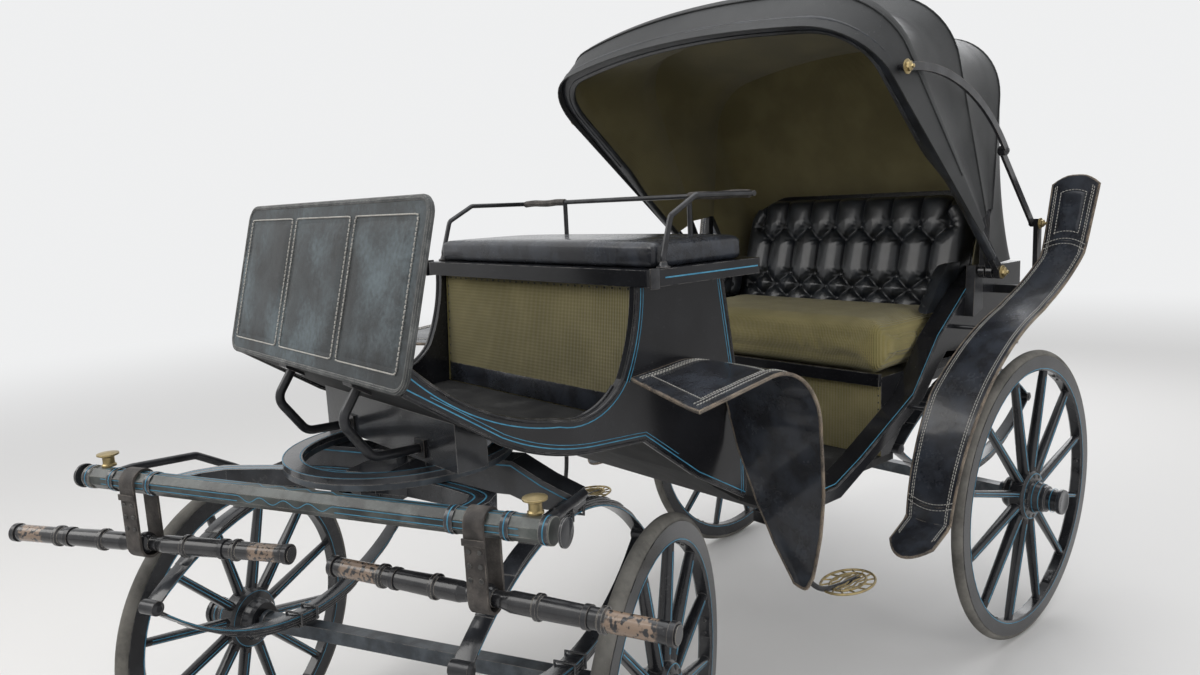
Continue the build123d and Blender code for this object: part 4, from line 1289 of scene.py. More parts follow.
        # The lining's cloth is khaki darkened as painted shade.
        leather, cloth = HOOD_LEATHER, SHADED_KHAKI_LINING
        ahead, middle = ("hood_mid", "hood_front"), ("hood_rear", "hood_mid")
        behind = ("carriage", "hood_rear")
        for name, stations, free, sag, rows, bodies, node in (
            ("front", over_front, (48.8, 60.5), 0.010, 30, ahead, "leather_front"),
            ("mid", over_mid, (68.0, 88.2), 0.012, 28, middle, "leather_mid"),
            ("back", down_back, (96.0, 177.0), 0.016, 36, behind, "back_curtain"),
        ):
            self.skin(f"hood_leather_{name}", stations, free, sag, rows, bodies, node, outer, leather, 0.004)
        in_front = ((self.front, 42.5), (self.front, 46.5), (self.middle, 62.5), (self.middle, 68.0))
        in_mid = ((self.middle, 68.0), (self.rear, 90.5), (self.rear, 96.0))
        in_back = ((self.rear, 96.0), (self.hem, 176.0))
        for name, stations, free, sag, rows, bodies in (
            ("front", in_front, (46.5, 62.5), 0.006, 30, ahead),
            ("mid", in_mid, (68.0, 90.5), 0.008, 28, middle),
            ("back", in_back, (96.0, 176.0), 0.018, 30, behind),
        ):
            self.skin(f"lining_{name}", stations, free, sag, rows, bodies, None, -0.001, cloth, 0.002)
        self.rim()
        self.welts()
        repaint(WHEEL_PAINT, "bow_front", "bow_mid", "bow_rear")
        repaint(HOOD_LEATHER, "leather_front", "leather_mid", "back_curtain")

    def rim(self) -> None:
        """Padded leather roll round the front of the hood, with a seam inside it."""
        count = 121
        grows = (self.leg + 0.0055, -0.005, -0.030)
        edges = [self.line(self.front, grow, 0.075, self.corner, count) for grow in grows]

        def place(u: float, v: float) -> Vector:
            """Point along the rim at u and round its section at v."""
            turn = tau * round(v * 16) / 16
            swell = copysign(abs(sin(turn)) ** 0.7, sin(turn))
            outer, narrow, wide = (Vector(edge[round(u * (count - 1))]) for edge in edges)
            inner = narrow.lerp(wide, ease((outer.y - 0.42) / 0.2))
            spot = (outer + inner) / 2 + (outer - inner) / 2 * cos(turn)
            return self.raised(self.mouth, spot.x, spot.y, 0.011 * swell)

        roll = grid("hood_rim", count - 1, 16, place, (3.2, 0.15))
        settle(roll, 0.0002)
        close(roll)
        dress(roll, RIM_LEATHER, "hood_front", 60)
        inside = self.line(self.front, -0.012, 0.62, self.corner, count)
        seam = [self.raised(self.mouth, y, r, 0.0115) for y, r in inside]
        dress(tubes("rim_seam", [seam], 0.0016), RIM_LEATHER, "hood_front")

    def welts(self) -> None:
        """Raised seams over the bows."""
        outer = self.leg + 0.0005 + self.leather
        for name, bow, angle, start, body in (
            ("front", self.front, 47.5, 0.42, "hood_front"),
            ("mid", self.middle, 67.8, self.skirt, "hood_mid"),
            ("rear", self.rear, 95.4, self.skirt, "hood_rear"),
        ):
            over = self.line(bow, outer + 0.0005, start, self.corner, 97)
            path = [self.raised(angle, y, r) for y, r in over]
            dress(tubes("welt_" + name, [path], 0.0028), HOOD_LEATHER, body)


@dataclass
class Tufting:
    """Deep buttoned leather: rows of buttons with pleats between them."""

    width: float
    height: float
    columns: int
    rows: tuple[float, ...]
    depth: float

    def buttons(self) -> list[list[Flat]]:
        """Places of the buttons, row by row from the bottom, as (across, up)."""
        pitch = self.width / self.columns
        found = []
        shift = 0.0
        for number, height in enumerate(self.rows):
            if number and height - self.rows[number - 1] < pitch:
                shift = 0.5 - shift
            row = []
            for column in range(self.columns + 1):
                across = (column + shift) * pitch
                if pitch * 0.2 < across < self.width - pitch * 0.2:
                    row.append((across, height))
            found.append(row)
        return found

    def pleats(self) -> list[tuple[Flat, Flat]]:
        """Lines where the leather folds in: straight up from a button, or slanting to its neighbours."""
        rows = self.buttons()
        pitch = self.width / self.columns
        folds = []
        for low, high in zip(rows, rows[1:]):
            reach = pitch * (0.1 if high[0][1] - low[0][1] > pitch else 0.6)
            for x, z in low:
                folds += [((x, z), point) for point in high if abs(point[0] - x) < reach]
        folds += [((x, z), (x, self.height)) for x, z in rows[-1]]
        folds += [((x, z), (x, 0.0)) for x, z in rows[0]]
        return folds

    def puff(self) -> Callable[[float, float], float]:
        """How far the leather swells at a place across and up.

        Returns:
            A rule that gives metres from 0 in the folds to the full depth.
        """
        folds = self.pleats()
        spots = [spot for row in self.buttons() for spot in row]
        reach = self.width / self.columns * 0.5

        def swell(x: float, z: float) -> float:
            """The swelling at one place."""
            near = reach
            for (ax, az), (bx, bz) in folds:
                if abs(x - (ax + bx) / 2) > reach + abs(bx - ax) / 2:
                    continue
                dx, dz = bx - ax, bz - az
                share = min(1.0, max(0.0, ((x - ax) * dx + (z - az) * dz) / (dx * dx + dz * dz)))
                near = min(near, hypot(x - ax - dx * share, z - az - dz * share))
            round_up = sqrt(max(0.0, 1 - (1 - near / reach) ** 2))
            pit, crumple = 1.0, 0.0
            for bx, bz in spots:
                gap = hypot(x - bx, z - bz)
                if gap < 0.05:
                    pit = min(pit, 1 - 0.95 * exp(-((gap / 0.013) ** 2)))
                    turn = atan2(z - bz, x - bx)
                    crumple += 0.0016 * sin(9 * turn) * exp(-((gap - 0.02) / 0.012) ** 2)
            edge = min(x, self.width - x, self.height - z, 0.06) / 0.06
            border = sqrt(max(0.0, 1 - (1 - edge) ** 2))
            return self.depth * (0.25 + 0.75 * round_up) * pit * (0.25 + 0.75 * border) + crumple * border

        return swell


@dataclass
class RearSeat:
    """The passengers' seat: tufted back and sides, khaki cushion and the cloth below it."""

    bench: float = 1.000
    thickness: float = 0.165
    front: float = 0.608
    back: float = 0.130
    half: float = 0.470
    foot: Flat = (0.160, 1.165)
    head: Flat = (0.044, 1.560)
    corner: float = 0.120
    swell: float = 0.030
    depth: float = 0.060
    sill: float = 0.745
    box_front: float = 0.6101

    def build(self) -> None:
        """Makes every soft piece of the seat."""
        self.back_cushion()
        self.side_pads()
        self.cushion()
        self.riser()

    def back_cushion(self) -> None:
        """Tufted back: a wavy front skin closed round the board, with buttons."""
        height = hypot(self.head[0] - self.foot[0], self.head[1] - self.foot[1])
        rise = Vector((self.head[0] - self.foot[0], 0, self.head[1] - self.foot[1])).normalized()
        out = Vector((rise.z, 0, -rise.x))
        tufts = Tufting(2 * self.half, height, 8, (0.014, 0.058, 0.106, 0.243, 0.292), self.swell)
        swell = tufts.puff()
        low = Vector((self.foot[0], 0, self.foot[1]))

        def rounded(across: float, up: float) -> tuple[float, float]:
            """Draws the top corners in."""
            side = across - self.half
            over_x, over_z = abs(side) - (self.half - self.corner), up - (height - self.corner)
            if over_x > 0 and over_z > 0:
                share = max(over_x, over_z) / hypot(over_x, over_z)
                keep_x = self.half - self.corner + over_x * share
                return self.half + copysign(keep_x, side), height - self.corner + over_z * share
            return across, up

        def place(u: float, v: float) -> Vector:
            """Point of the front skin."""
            across, up = u * 2 * self.half, v * height
            puffed = swell(across, up) - self.swell
            drawn = rounded(across, up)
            roll = max(0.0, v - 0.93) / 0.07
            spot = low + Vector((0, drawn[0] - self.half, 0)) + rise * drawn[1]
            return spot + out * (puffed - 0.03 * roll * roll)

        skin = grid("tufted_back", 192, 96, place)
        close(skin, out * -self.depth)
        dress(skin, GLOSSY_LEATHER, "carriage", 80)
        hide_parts("back_cushion")
        moves = []
        for row in tufts.buttons():
            for across, up in row:
                spot = low + Vector((0, across - self.half, 0)) + rise * up
                spot += out * (swell(across, up) - self.swell)
                moves.append(facing(spot + out * 0.002, out))
        self.knobs("back_buttons", moves)

    def knobs(self, name: str, moves: Sequence[Matrix]) -> None:
        """Leather buttons at the given places."""
        profile = ((-0.003, 0.0), (-0.003, 0.009), (0.0, 0.0095), (0.003, 0.007), (0.0045, 0.0))
        button = turned("button", profile, steps=12)
        dress(spread(name, button, moves), GLOSSY_LEATHER, "carriage", 60)

    def side_pads(self) -> None:
        """Tufted pads along both ends of the seat."""
        pads = []
        spots = []
        for _, side in SIDES:

            def place(u: float, v: float, side: int = side) -> Vector:
                """Point of a pad's inner skin."""
                low = Vector((0.163 + u * 0.177, 0, 1.166))
                top_z = 1.320 if u < 0.45 else 1.320 - (u - 0.45) / 0.55 * 0.130
                high = Vector((0.118 + u * 0.20, 0, top_z))
                point = low.lerp(high, v)
                edge = min(u, 1 - u, v, 1 - v, 0.18) / 0.18
                waves = abs(sin(pi * u * 2.5)) ** 0.6 * abs(sin(pi * v * 1.5)) ** 0.6
                depth = 0.012 + 0.036 * sqrt(max(0.0, 1 - (1 - edge) ** 2)) * (0.55 + 0.45 * waves)
                return Vector((point.x, side * (0.48 - depth), point.z))

            skin = grid("side_pad", 40, 30, place)
            close(skin, (0, side * 0.011, 0))
            pads.append(skin)
            for x, z in ((0.22, 1.215), (0.285, 1.215), (0.19, 1.265), (0.25, 1.265)):
                spots.append(facing((x, side * 0.444, z), (0, -side, 0)))
        pad = joined("side_pads", pads)
        dress(pad, GLOSSY_LEATHER, "carriage", 80)
        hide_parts("squabs")
        self.knobs("pad_buttons", spots)

    def cushion(self) -> None:
        """Khaki seat cushion with a boxed front and piped edges."""
        low = Vector((self.back, -self.half, self.bench))
        high = Vector((self.front, self.half, self.bench + self.thickness))
        piece = stuffed("khaki_cushion", low, high, 0.034, 0.008, 0.014)
        dress(piece, KHAKI, "carriage", 80)
        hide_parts("passenger_cushion")

    def riser(self) -> None:
        """Cloth on the front of the black seat box."""
        low, high = self.sill + 0.002, self.bench - 0.002
        half = self.half + 0.008
        face = [(self.box_front, y, z) for y, z in ((-half, low), (half, low), (half, high), (-half, high))]
        dress(plate("riser_cloth", face, (0.0012, 0, 0)), KHAKI, "carriage")
        repaint(BODY_PAINT, "seat_box", "riser_rail", "seat_back", "back_panel")


def stuffed(
    name: str, low: Vector, high: Vector, edge: float, cap: float, inset: float, pressure: float = 4.0
) -> Piece:
    """A box cushion blown up as cloth, then kept within a cap of its first shape.

    Args:
        name: The piece's name.
        low: Lowest corner of its room.
        high: Highest corner of its room.
        edge: Rounding of its edges.
        cap: How far a point may move.
        inset: How much smaller it starts.
        pressure: The air's pressure.

    Returns:
        The cushion.
    """
    clear()
    middle = (low + high) / 2
    bpy.ops.mesh.primitive_cube_add(size=1, location=middle)
    piece = named(name)
    piece.scale = (high - low) - Vector((inset, inset, inset * 0.4))
    bpy.ops.object.transform_apply(location=True, rotation=True, scale=True)
    modify(piece, "BEVEL", width=edge, segments=4, limit_method="NONE")
    modify(piece, "REMESH", mode="VOXEL", voxel_size=0.006)
    before = [vertex.co.copy() for vertex in piece.data.vertices]
    activate(piece)
    modifier = piece.modifiers.new("cloth", "CLOTH")
    cloth = modifier.settings
    cloth.quality = 4
    cloth.use_pressure = True
    cloth.uniform_pressure_force = pressure
    cloth.effector_weights.gravity = 0
    cloth.tension_stiffness = 12
    cloth.bending_stiffness = 4
    scene = bpy.context.scene
    for number in range(1, 21):
        scene.frame_set(number)
    bpy.ops.object.modifier_apply(modifier=modifier.name)
    scene.frame_set(1)
    for vertex, start in zip(piece.data.vertices, before):
        moved = vertex.co - start
        if moved.length > cap:
            vertex.co = start + moved * (cap / moved.length)
        vertex.co.z = max(vertex.co.z, low.z + 0.0005)
    modify(piece, "SMOOTH", factor=0.5, iterations=3)
    for vertex in piece.data.vertices:
        crown = 1 - ((vertex.co.x - middle.x) / (high.x - low.x) * 2) ** 4
        crown *= 1 - ((vertex.co.y - middle.y) / (high.y - low.y) * 2) ** 4
        if vertex.co.z > middle.z:
            vertex.co.z += 0.006 * max(0.0, crown)
        vertex.co.z = min(max(vertex.co.z, low.z + 0.0004), high.z + 0.008)
        vertex.co.x = min(max(vertex.co.x, low.x + 0.0004), high.x)
        vertex.co.y = min(max(vertex.co.y, low.y + 0.0004), high.y - 0.0004)
    return piece


@dataclass
class DriverSeat:
    """The driver's seat: flat black cushion, ledge with its line, and the iron rail."""

    deck: float = 1.420
    thickness: float = 0.058
    front: float = 1.577
    back: float = 1.246
    half: float = 0.478
    ledge: tuple[float, float, float, float] = (1.205, 1.610, 1.380, 1.420)
    ledge_half: float = 0.500

    def build(self) -> None:
        """Makes the cushion, paints the ledge and dresses the rail."""
        low = Vector((self.back, -self.half, self.deck))
        high = Vector((self.front, self.half, self.deck + self.thickness))
        piece = stuffed("driver_pad", low, high, 0.010, 0.005, 0.008, 2.5)
        dress(piece, STITCHED_LEATHER, "carriage", 50)
        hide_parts("driver_cushion")
        repaint(BODY_PAINT, "seat_frame")
        repaint(IRON, "seat_rail")
        self.lines()
        self.fittings()

    def lines(self) -> None:
        """Blue lines along the ledge's sides."""
        rear, front, bottom, top = self.ledge
        for name, side in SIDES:
            z = (bottom + top) / 2
            xs = [rear + 0.02 + (front - rear - 0.07) * n / 8 for n in range(9)]
            path = [Vector((x, side * self.ledge_half, z)) for x in xs]
            ribbon(f"ledge_line_{name}", path, Vector((0, side, 0)), 0.0035, "carriage")

    def fittings(self) -> None:
        """Corner irons, the rail's feet and its bound hand grip."""
        _, front, bottom, top = self.ledge
        irons = []
        for _, side in SIDES:
            y = side * (self.ledge_half + 0.001)
            behind, before, low, high = front - 0.028, front + 0.002, bottom - 0.004, top + 0.004
            points = ((behind, y, low), (before, y, low), (before, y, high), (behind, y, high))
            irons.append(plate("iron", points, (0, side * 0.004, 0), 0.001))
        dress(joined("corner_irons", irons), IRON, "carriage")
        profile = ((0.0, 0.0), (0.0, 0.017), (0.004, 0.017), (0.007, 0.0115), (0.016, 0.0085), (0.016, 0.0))
        foot = turned("foot", profile, steps=16)
        spots = [(1.553, side * 0.488, self.deck) for _, side in SIDES]
        spots += [(1.226, side * 0.270, self.deck) for _, side in SIDES]
        dress(spread("rail_feet", foot, [facing(spot, UP) for spot in spots]), IRON, "carriage")
        grips = [
            [(1.226, side * (0.27 + 0.21 * n / 5), 1.583 + 0.002 * sin(n * 2)) for n in range(6)]
            for _, side in SIDES
        ]
        dress(tubes("rail_grips", grips, 0.0105, smooth=True), STRAP_LEATHER, "carriage")


class LeatherLeaf:
    """A guard or wing: stitched leather on a bent strip, with bound edges and seams."""

    def __init__(
        self, name: str, node: str, place: Callable[[float, float], Vector],
        outward: Callable[[Vector], Vector], seams: Sequence[float], panels: Points,
    ) -> None:
        """Keeps the leaf's shape.

        Args:
            name: The leaf's name.
            node: The CAD node that it stands for.
            place: Point of the outer face at u across and v along.
            outward: Which way is out at a point.
            seams: Shares of the length that have a cross seam.
            panels: Inner panels as lowest u, highest u, lowest v, highest v.
        """
        self.name = name
        self.node = node
        self.place = place
        self.outward = outward
        self.seams = seams
        self.panels = panels
        self.thick = 0.0076

    def normal(self, u: float, v: float) -> Vector:
        """The outer face's normal."""
        step = 0.004
        a = self.place(min(1, u + step), v) - self.place(max(0, u - step), v)
        b = self.place(u, min(1, v + step)) - self.place(u, max(0, v - step))
        found = a.cross(b).normalized()
        return found if found.dot(self.outward(self.place(u, v))) > 0 else -found

    def puffed(self, u: float, v: float) -> Vector:
        """Outer face with the leather's slack between its edges."""
        waves = 0.0012 + 0.0009 * sin(v * 41) * sin(v * 13 + u * 5)
        slack = max(0.0, 1 - abs(2 * u - 1) ** 5) * waves
        return self.place(u, v) + self.normal(u, v) * slack

    def rows(self, lines: Sequence[Sequence[Flat]]) -> list[tuple[list[Vector], list[Vector]]]:
        """Points and normals of lines given as (u, v)."""
        return [([self.puffed(*at) for at in line], [self.normal(*at) for at in line]) for line in lines]

    def build(self) -> None:
        """Makes the skin, binding, seams, panels and stitches."""
        skin = grid(self.name, 16, 84, self.puffed)
        settle(skin)
        face_out(skin, self.outward)
        modify(skin, "SOLIDIFY", thickness=self.thick, offset=-1.0)
        dress(skin, STITCHED_LEATHER, "carriage", 50)
        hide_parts(self.node)
        steps = [number / 60 for number in range(61)]
        edge = [(0.0, v) for v in steps] + [(n / 10, 1.0) for n in range(1, 10)]
        edge += [(1.0, v) for v in reversed(steps)] + [(n / 10, 0.0) for n in range(9, 0, -1)]
        ring = [self.place(u, v) - self.normal(u, v) * self.thick * 0.5 for u, v in edge]
        dress(tubes(self.name + "_binding", [ring], 0.0046, cyclic=True), TAN_EDGE, "carriage")
        lines = []
        for inset in (0.075, 0.115):
            lines += [[(u, 0.02 + 0.96 * v) for v in steps] for u in (inset, 1 - inset)]
        welts = []
        for seam in self.seams:
            across = [(0.03 + 0.94 * n / 12, seam) for n in range(13)]
            welts.append([self.puffed(*spot) for spot in across])
            for shift in (-0.008, 0.008):
                lines.append([(u, v + shift) for u, v in across])
        if welts:
            dress(tubes(self.name + "_seams", welts, 0.0022), STITCHED_LEATHER, "carriage")
        for low_u, high_u, low_v, high_v in self.panels:
            lines.append(
                [(low_u, low_v + (high_v - low_v) * n / 20) for n in range(21)]
                + [(low_u + (high_u - low_u) * n / 8, high_v) for n in range(1, 9)]
                + [(high_u, high_v + (low_v - high_v) * n / 20) for n in range(1, 21)]
                + [(high_u + (low_u - high_u) * n / 8, low_v) for n in range(1, 9)]
            )
            self.panel(low_u, high_u, low_v, high_v)
        stitch_row(self.name + "_stitches", self.rows(lines), "carriage", 0.010, thick=0.0011)

    def panel(self, low_u: float, high_u: float, low_v: float, high_v: float) -> None:
        """A second layer of leather inside a panel's stitches."""

        def place(u: float, v: float) -> Vector:
            """Point of the layer, inset from the stitches."""
            edge = min(u, 1 - u, v, 1 - v, 0.08) / 0.08
            across = low_u + (high_u - low_u) * (0.04 + 0.92 * u)
            spot = (across, low_v + (high_v - low_v) * (0.03 + 0.94 * v))
            return self.puffed(*spot) + self.normal(*spot) * (0.0022 * sqrt(edge) - 0.0004)

        layer = grid(f"{self.name}_layer_{len(bpy.data.objects)}", 12, 24, place)
        settle(layer)
        dress(layer, STITCHED_LEATHER, "carriage", 60)


def table(points: Sequence[Flat], at: float) -> float:
    """Value between the points of a table, kept to its ends."""
    if at <= points[0][0]:
        return points[0][1]
    for (low, first), (high, second) in zip(points, points[1:]):
        if at <= high:
            return first + (second - first) * (at - low) / (high - low)
    return points[-1][1]


def walk(path: Sequence[Flat]) -> tuple[list[Flat], float]:
    """Table from distance along a path to its point's number, and the whole length."""
    total, found = 0.0, [(0.0, 0.0)]
    for number, (a, b) in enumerate(zip(path, path[1:])):
        total += hypot(b[0] - a[0], b[1] - a[1])
        found.append((total, number + 1.0))
    return found, total


def on_path(path: Sequence[Flat], at: float) -> Flat:
    """Point of a path at a point number with its share."""
    index = min(int(at), len(path) - 2)
    share = at - index
    (ax, az), (bx, bz) = path[index], path[index + 1]
    return ax + (bx - ax) * share, az + (bz - az) * share


@dataclass
class Guards:
    """The leather guards behind the rear wheels and the wings over the front ones."""

    guard_radius: float = 0.690
    wheel_radius: float = REAR_RADIUS
    thick: float = 0.008

    def build(self) -> None:
        """Makes both guards and both wings."""
        for name, side in SIDES:
            self.guard(name, side)
            self.wing(name, side)
        repaint(IRON, "guard_stays")

    def guard(self, name: str, side: int) -> None:
        """One rear guard, from its toe up to its paddle."""
        reach = self.guard_radius
        start, middle, end = (
            (reach * cos(radians(a)), self.wheel_radius + reach * sin(radians(a)))
            for a in (8, 41.5, 75)
        )
        line = [(0.830, 0.538)] + through(start, middle, end, 40)
        line += through(end, (0.052, 1.262), (-0.020, 1.400), 14)[1:] + [(-0.070, 1.590)]
        heights = sorted((z, x) for x, z in line)
        inner = ((0.56, 0.615), (0.95, 0.602), (1.19, 0.640), (1.33, 0.702), (1.56, 0.705))
        outer = ((0.56, 0.745), (0.95, 0.765), (1.19, 0.780), (1.34, 0.828), (1.56, 0.845))

        def place(u: float, v: float) -> Vector:
            """Point of the outer face; v runs up from the toe."""
            arch = 1 - (2 * u - 1) ** 2
            low, high = 0.560 - 0.022 * arch, 1.560 + 0.030 * arch
            z = low + (high - low) * v
            x, ahead = table(heights, z), table(heights, z + 0.004)
            out = Vector((0.004, 0, x - ahead)).normalized()
            y = table(inner, z) + (table(outer, z) - table(inner, z)) * u
            return Vector((x, side * y, z)) + out * self.thick

        away = Vector((1.0, 0, 0.35))
        LeatherLeaf(
            f"guard_leather_{name}", f"rear_guard_{name}", place, lambda _: away, (0.105, 0.80),
            ((0.22, 0.78, 0.83, 0.955),),
        ).build()

    def wing(self, name: str, side: int) -> None:
        """One front wing, from its level leaf down to its tip."""
        line = [(1.738, 1.1518)] + [(1.736 - 0.266 * n / 12, 1.152 + 0.026 * n / 12) for n in range(1, 13)]
        line += through((1.470, 1.178), (1.345, 1.130), (1.302, 1.010), 16)[1:]
        line += through((1.302, 1.010), (1.294, 0.820), (1.310, 0.600), 20)[1:]
        numbers, total = walk(line)
        inner = ((0.618, 0.660), (0.70, 0.595), (0.80, 0.535), (0.93, 0.479), (1.06, 0.450))
        outer = ((0.64, 0.712), (0.75, 0.730), (0.85, 0.738), (1.10, 0.738))

        def place(u: float, v: float) -> Vector:
            """Point of the outer face; v runs from the front edge down to the tip."""
            first = max(0.0, 1.738 - (1.632 + 0.106 * min(1.0, u * 1.033)))
            drop = 0.006 * (1 - u / 0.58) ** 2 if u < 0.58 else 0.034 * ((u - 0.58) / 0.42) ** 2
            last = total - 0.012 - drop
            at = first + (last - first) * v
            number = table(numbers, at)
            x, z = on_path(line, number)
            bx, bz = on_path(line, min(number + 0.3, len(line) - 1.001))
            ax, az = on_path(line, max(number - 0.3, 0.0))
            out = Vector((-(bz - az), 0, bx - ax)).normalized() * -1
            low = table(inner, z) if x < 1.40 else 0.450
            high = table(outer, z) if x < 1.47 else 0.738 + 0.022 * (x - 1.47) / 0.266
            return Vector((x, side * (low + (high - low) * u), z)) + out * self.thick

        def outward(point: Vector) -> Vector:
            """Up over the leaf and forward down its back."""
            centre = Vector((1.47, point.y, 0.98))
            return (point - centre) if point.z > 1.05 else Vector((-1, 0, 0))

        LeatherLeaf(
            f"wing_leather_{name}", f"front_wing_{name}", place, outward, (0.47, 0.70),
            ((0.14, 0.86, 0.05, 0.30),),
        ).build()


@dataclass
class Dashboard:
    """The leaning leather dashboard: three padded panels between stitched bands."""

    foot: Point = (2.236, 0.0, 1.241)
    lean: float = 14.4
    half: float = 0.473
    height: float = 0.379
    thick: float = 0.014
    corner: float = 0.034
    band: float = 0.040
    dividers: Flat = (-0.158, 0.158)
    rib: float = 0.0175
    sewn: float = 0.004
    front: float = -0.002
    rear: float = -0.012

    def at(self, y: float, up: float, out: float) -> Vector:
        """Point of the board: across, up its face and out of it."""
        lean = radians(self.lean)
        rise = Vector((-sin(lean), 0, cos(lean)))
        ahead = Vector((cos(lean), 0, sin(lean)))
        return Vector(self.foot) + Vector((0, y, 0)) + rise * up + ahead * out

    def frame_line(self, inset: float, corner: float) -> list[Flat]:
        """Rounded rectangle inside the board's edge."""
        w, low, high = self.half - inset, inset, self.height - inset
        return rounded_box(-w + corner, w - corner, low + corner, high - corner, corner, 7)

    def build(self) -> None:
        """Makes the board, its bands, pads, stitches and binding."""
        lean = radians(self.lean)
        way = Vector((cos(lean), 0, sin(lean)))
        face = [self.at(y, z, self.front) for y, z in self.frame_line(0, self.corner)]
        core = plate("dash_board", face, way * -0.010)
        dress(core, DASH_LEATHER, "carriage")
        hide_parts("dashboard")
        ring = [self.at(y, z, -self.thick / 2) for y, z in self.frame_line(0.003, self.corner)]
        dress(tubes("dash_binding", [ring], 0.0078, cyclic=True, sides=3), DASH_EDGE, "carriage")
        lines = []
        edges = (-self.half, *self.dividers, self.half)
        low_z, high_z = self.band + self.sewn, self.height - self.band - self.sewn
        for face, out in ((self.front, 1), (self.rear, -1)):
            for left, right in zip(edges, edges[1:]):
                low_y = left + (self.band if left == -self.half else self.rib)
                high_y = right - (self.band if right == self.half else self.rib)
                self.pad(low_y, high_y, face, out)
                loop = rounded_box(low_y + self.sewn, high_y - self.sewn, low_z, high_z, 0.009, 4)
                path = filled([*loop, loop[0]])[:-1]
                lines.append(([self.at(y, z, face + out * 0.0008) for y, z in path], [way * out] * len(path)))
        stitch_row("dash_stitches", lines, "carriage", 0.010, closed=True, thick=0.0017)

    def pad(self, left: float, right: float, face: float, out: int) -> None:
        """One slightly full panel."""

        def place(u: float, v: float) -> Vector:
            """Point of the panel's skin."""
            edge = min(u * (right - left), (1 - u) * (right - left), v * 0.3, (1 - v) * 0.3, 0.02) / 0.02
            sag = 0.0006 * sin(u * 9 + v * 4) * sin(v * 7)
            y = left + 0.006 + (right - left - 0.012) * u
            up = self.band + 0.006 + (self.height - 2 * self.band - 0.012) * v
            return self.at(y, up, face + out * (0.0022 * sqrt(max(0.0, 1 - (1 - edge) ** 2)) + sag))

        skin = grid(f"dash_pad_{len(bpy.data.objects)}", 16, 20, place)
        if out < 0:
            flip(skin)
        dress(skin, DASH_LEATHER, "carriage", 60)


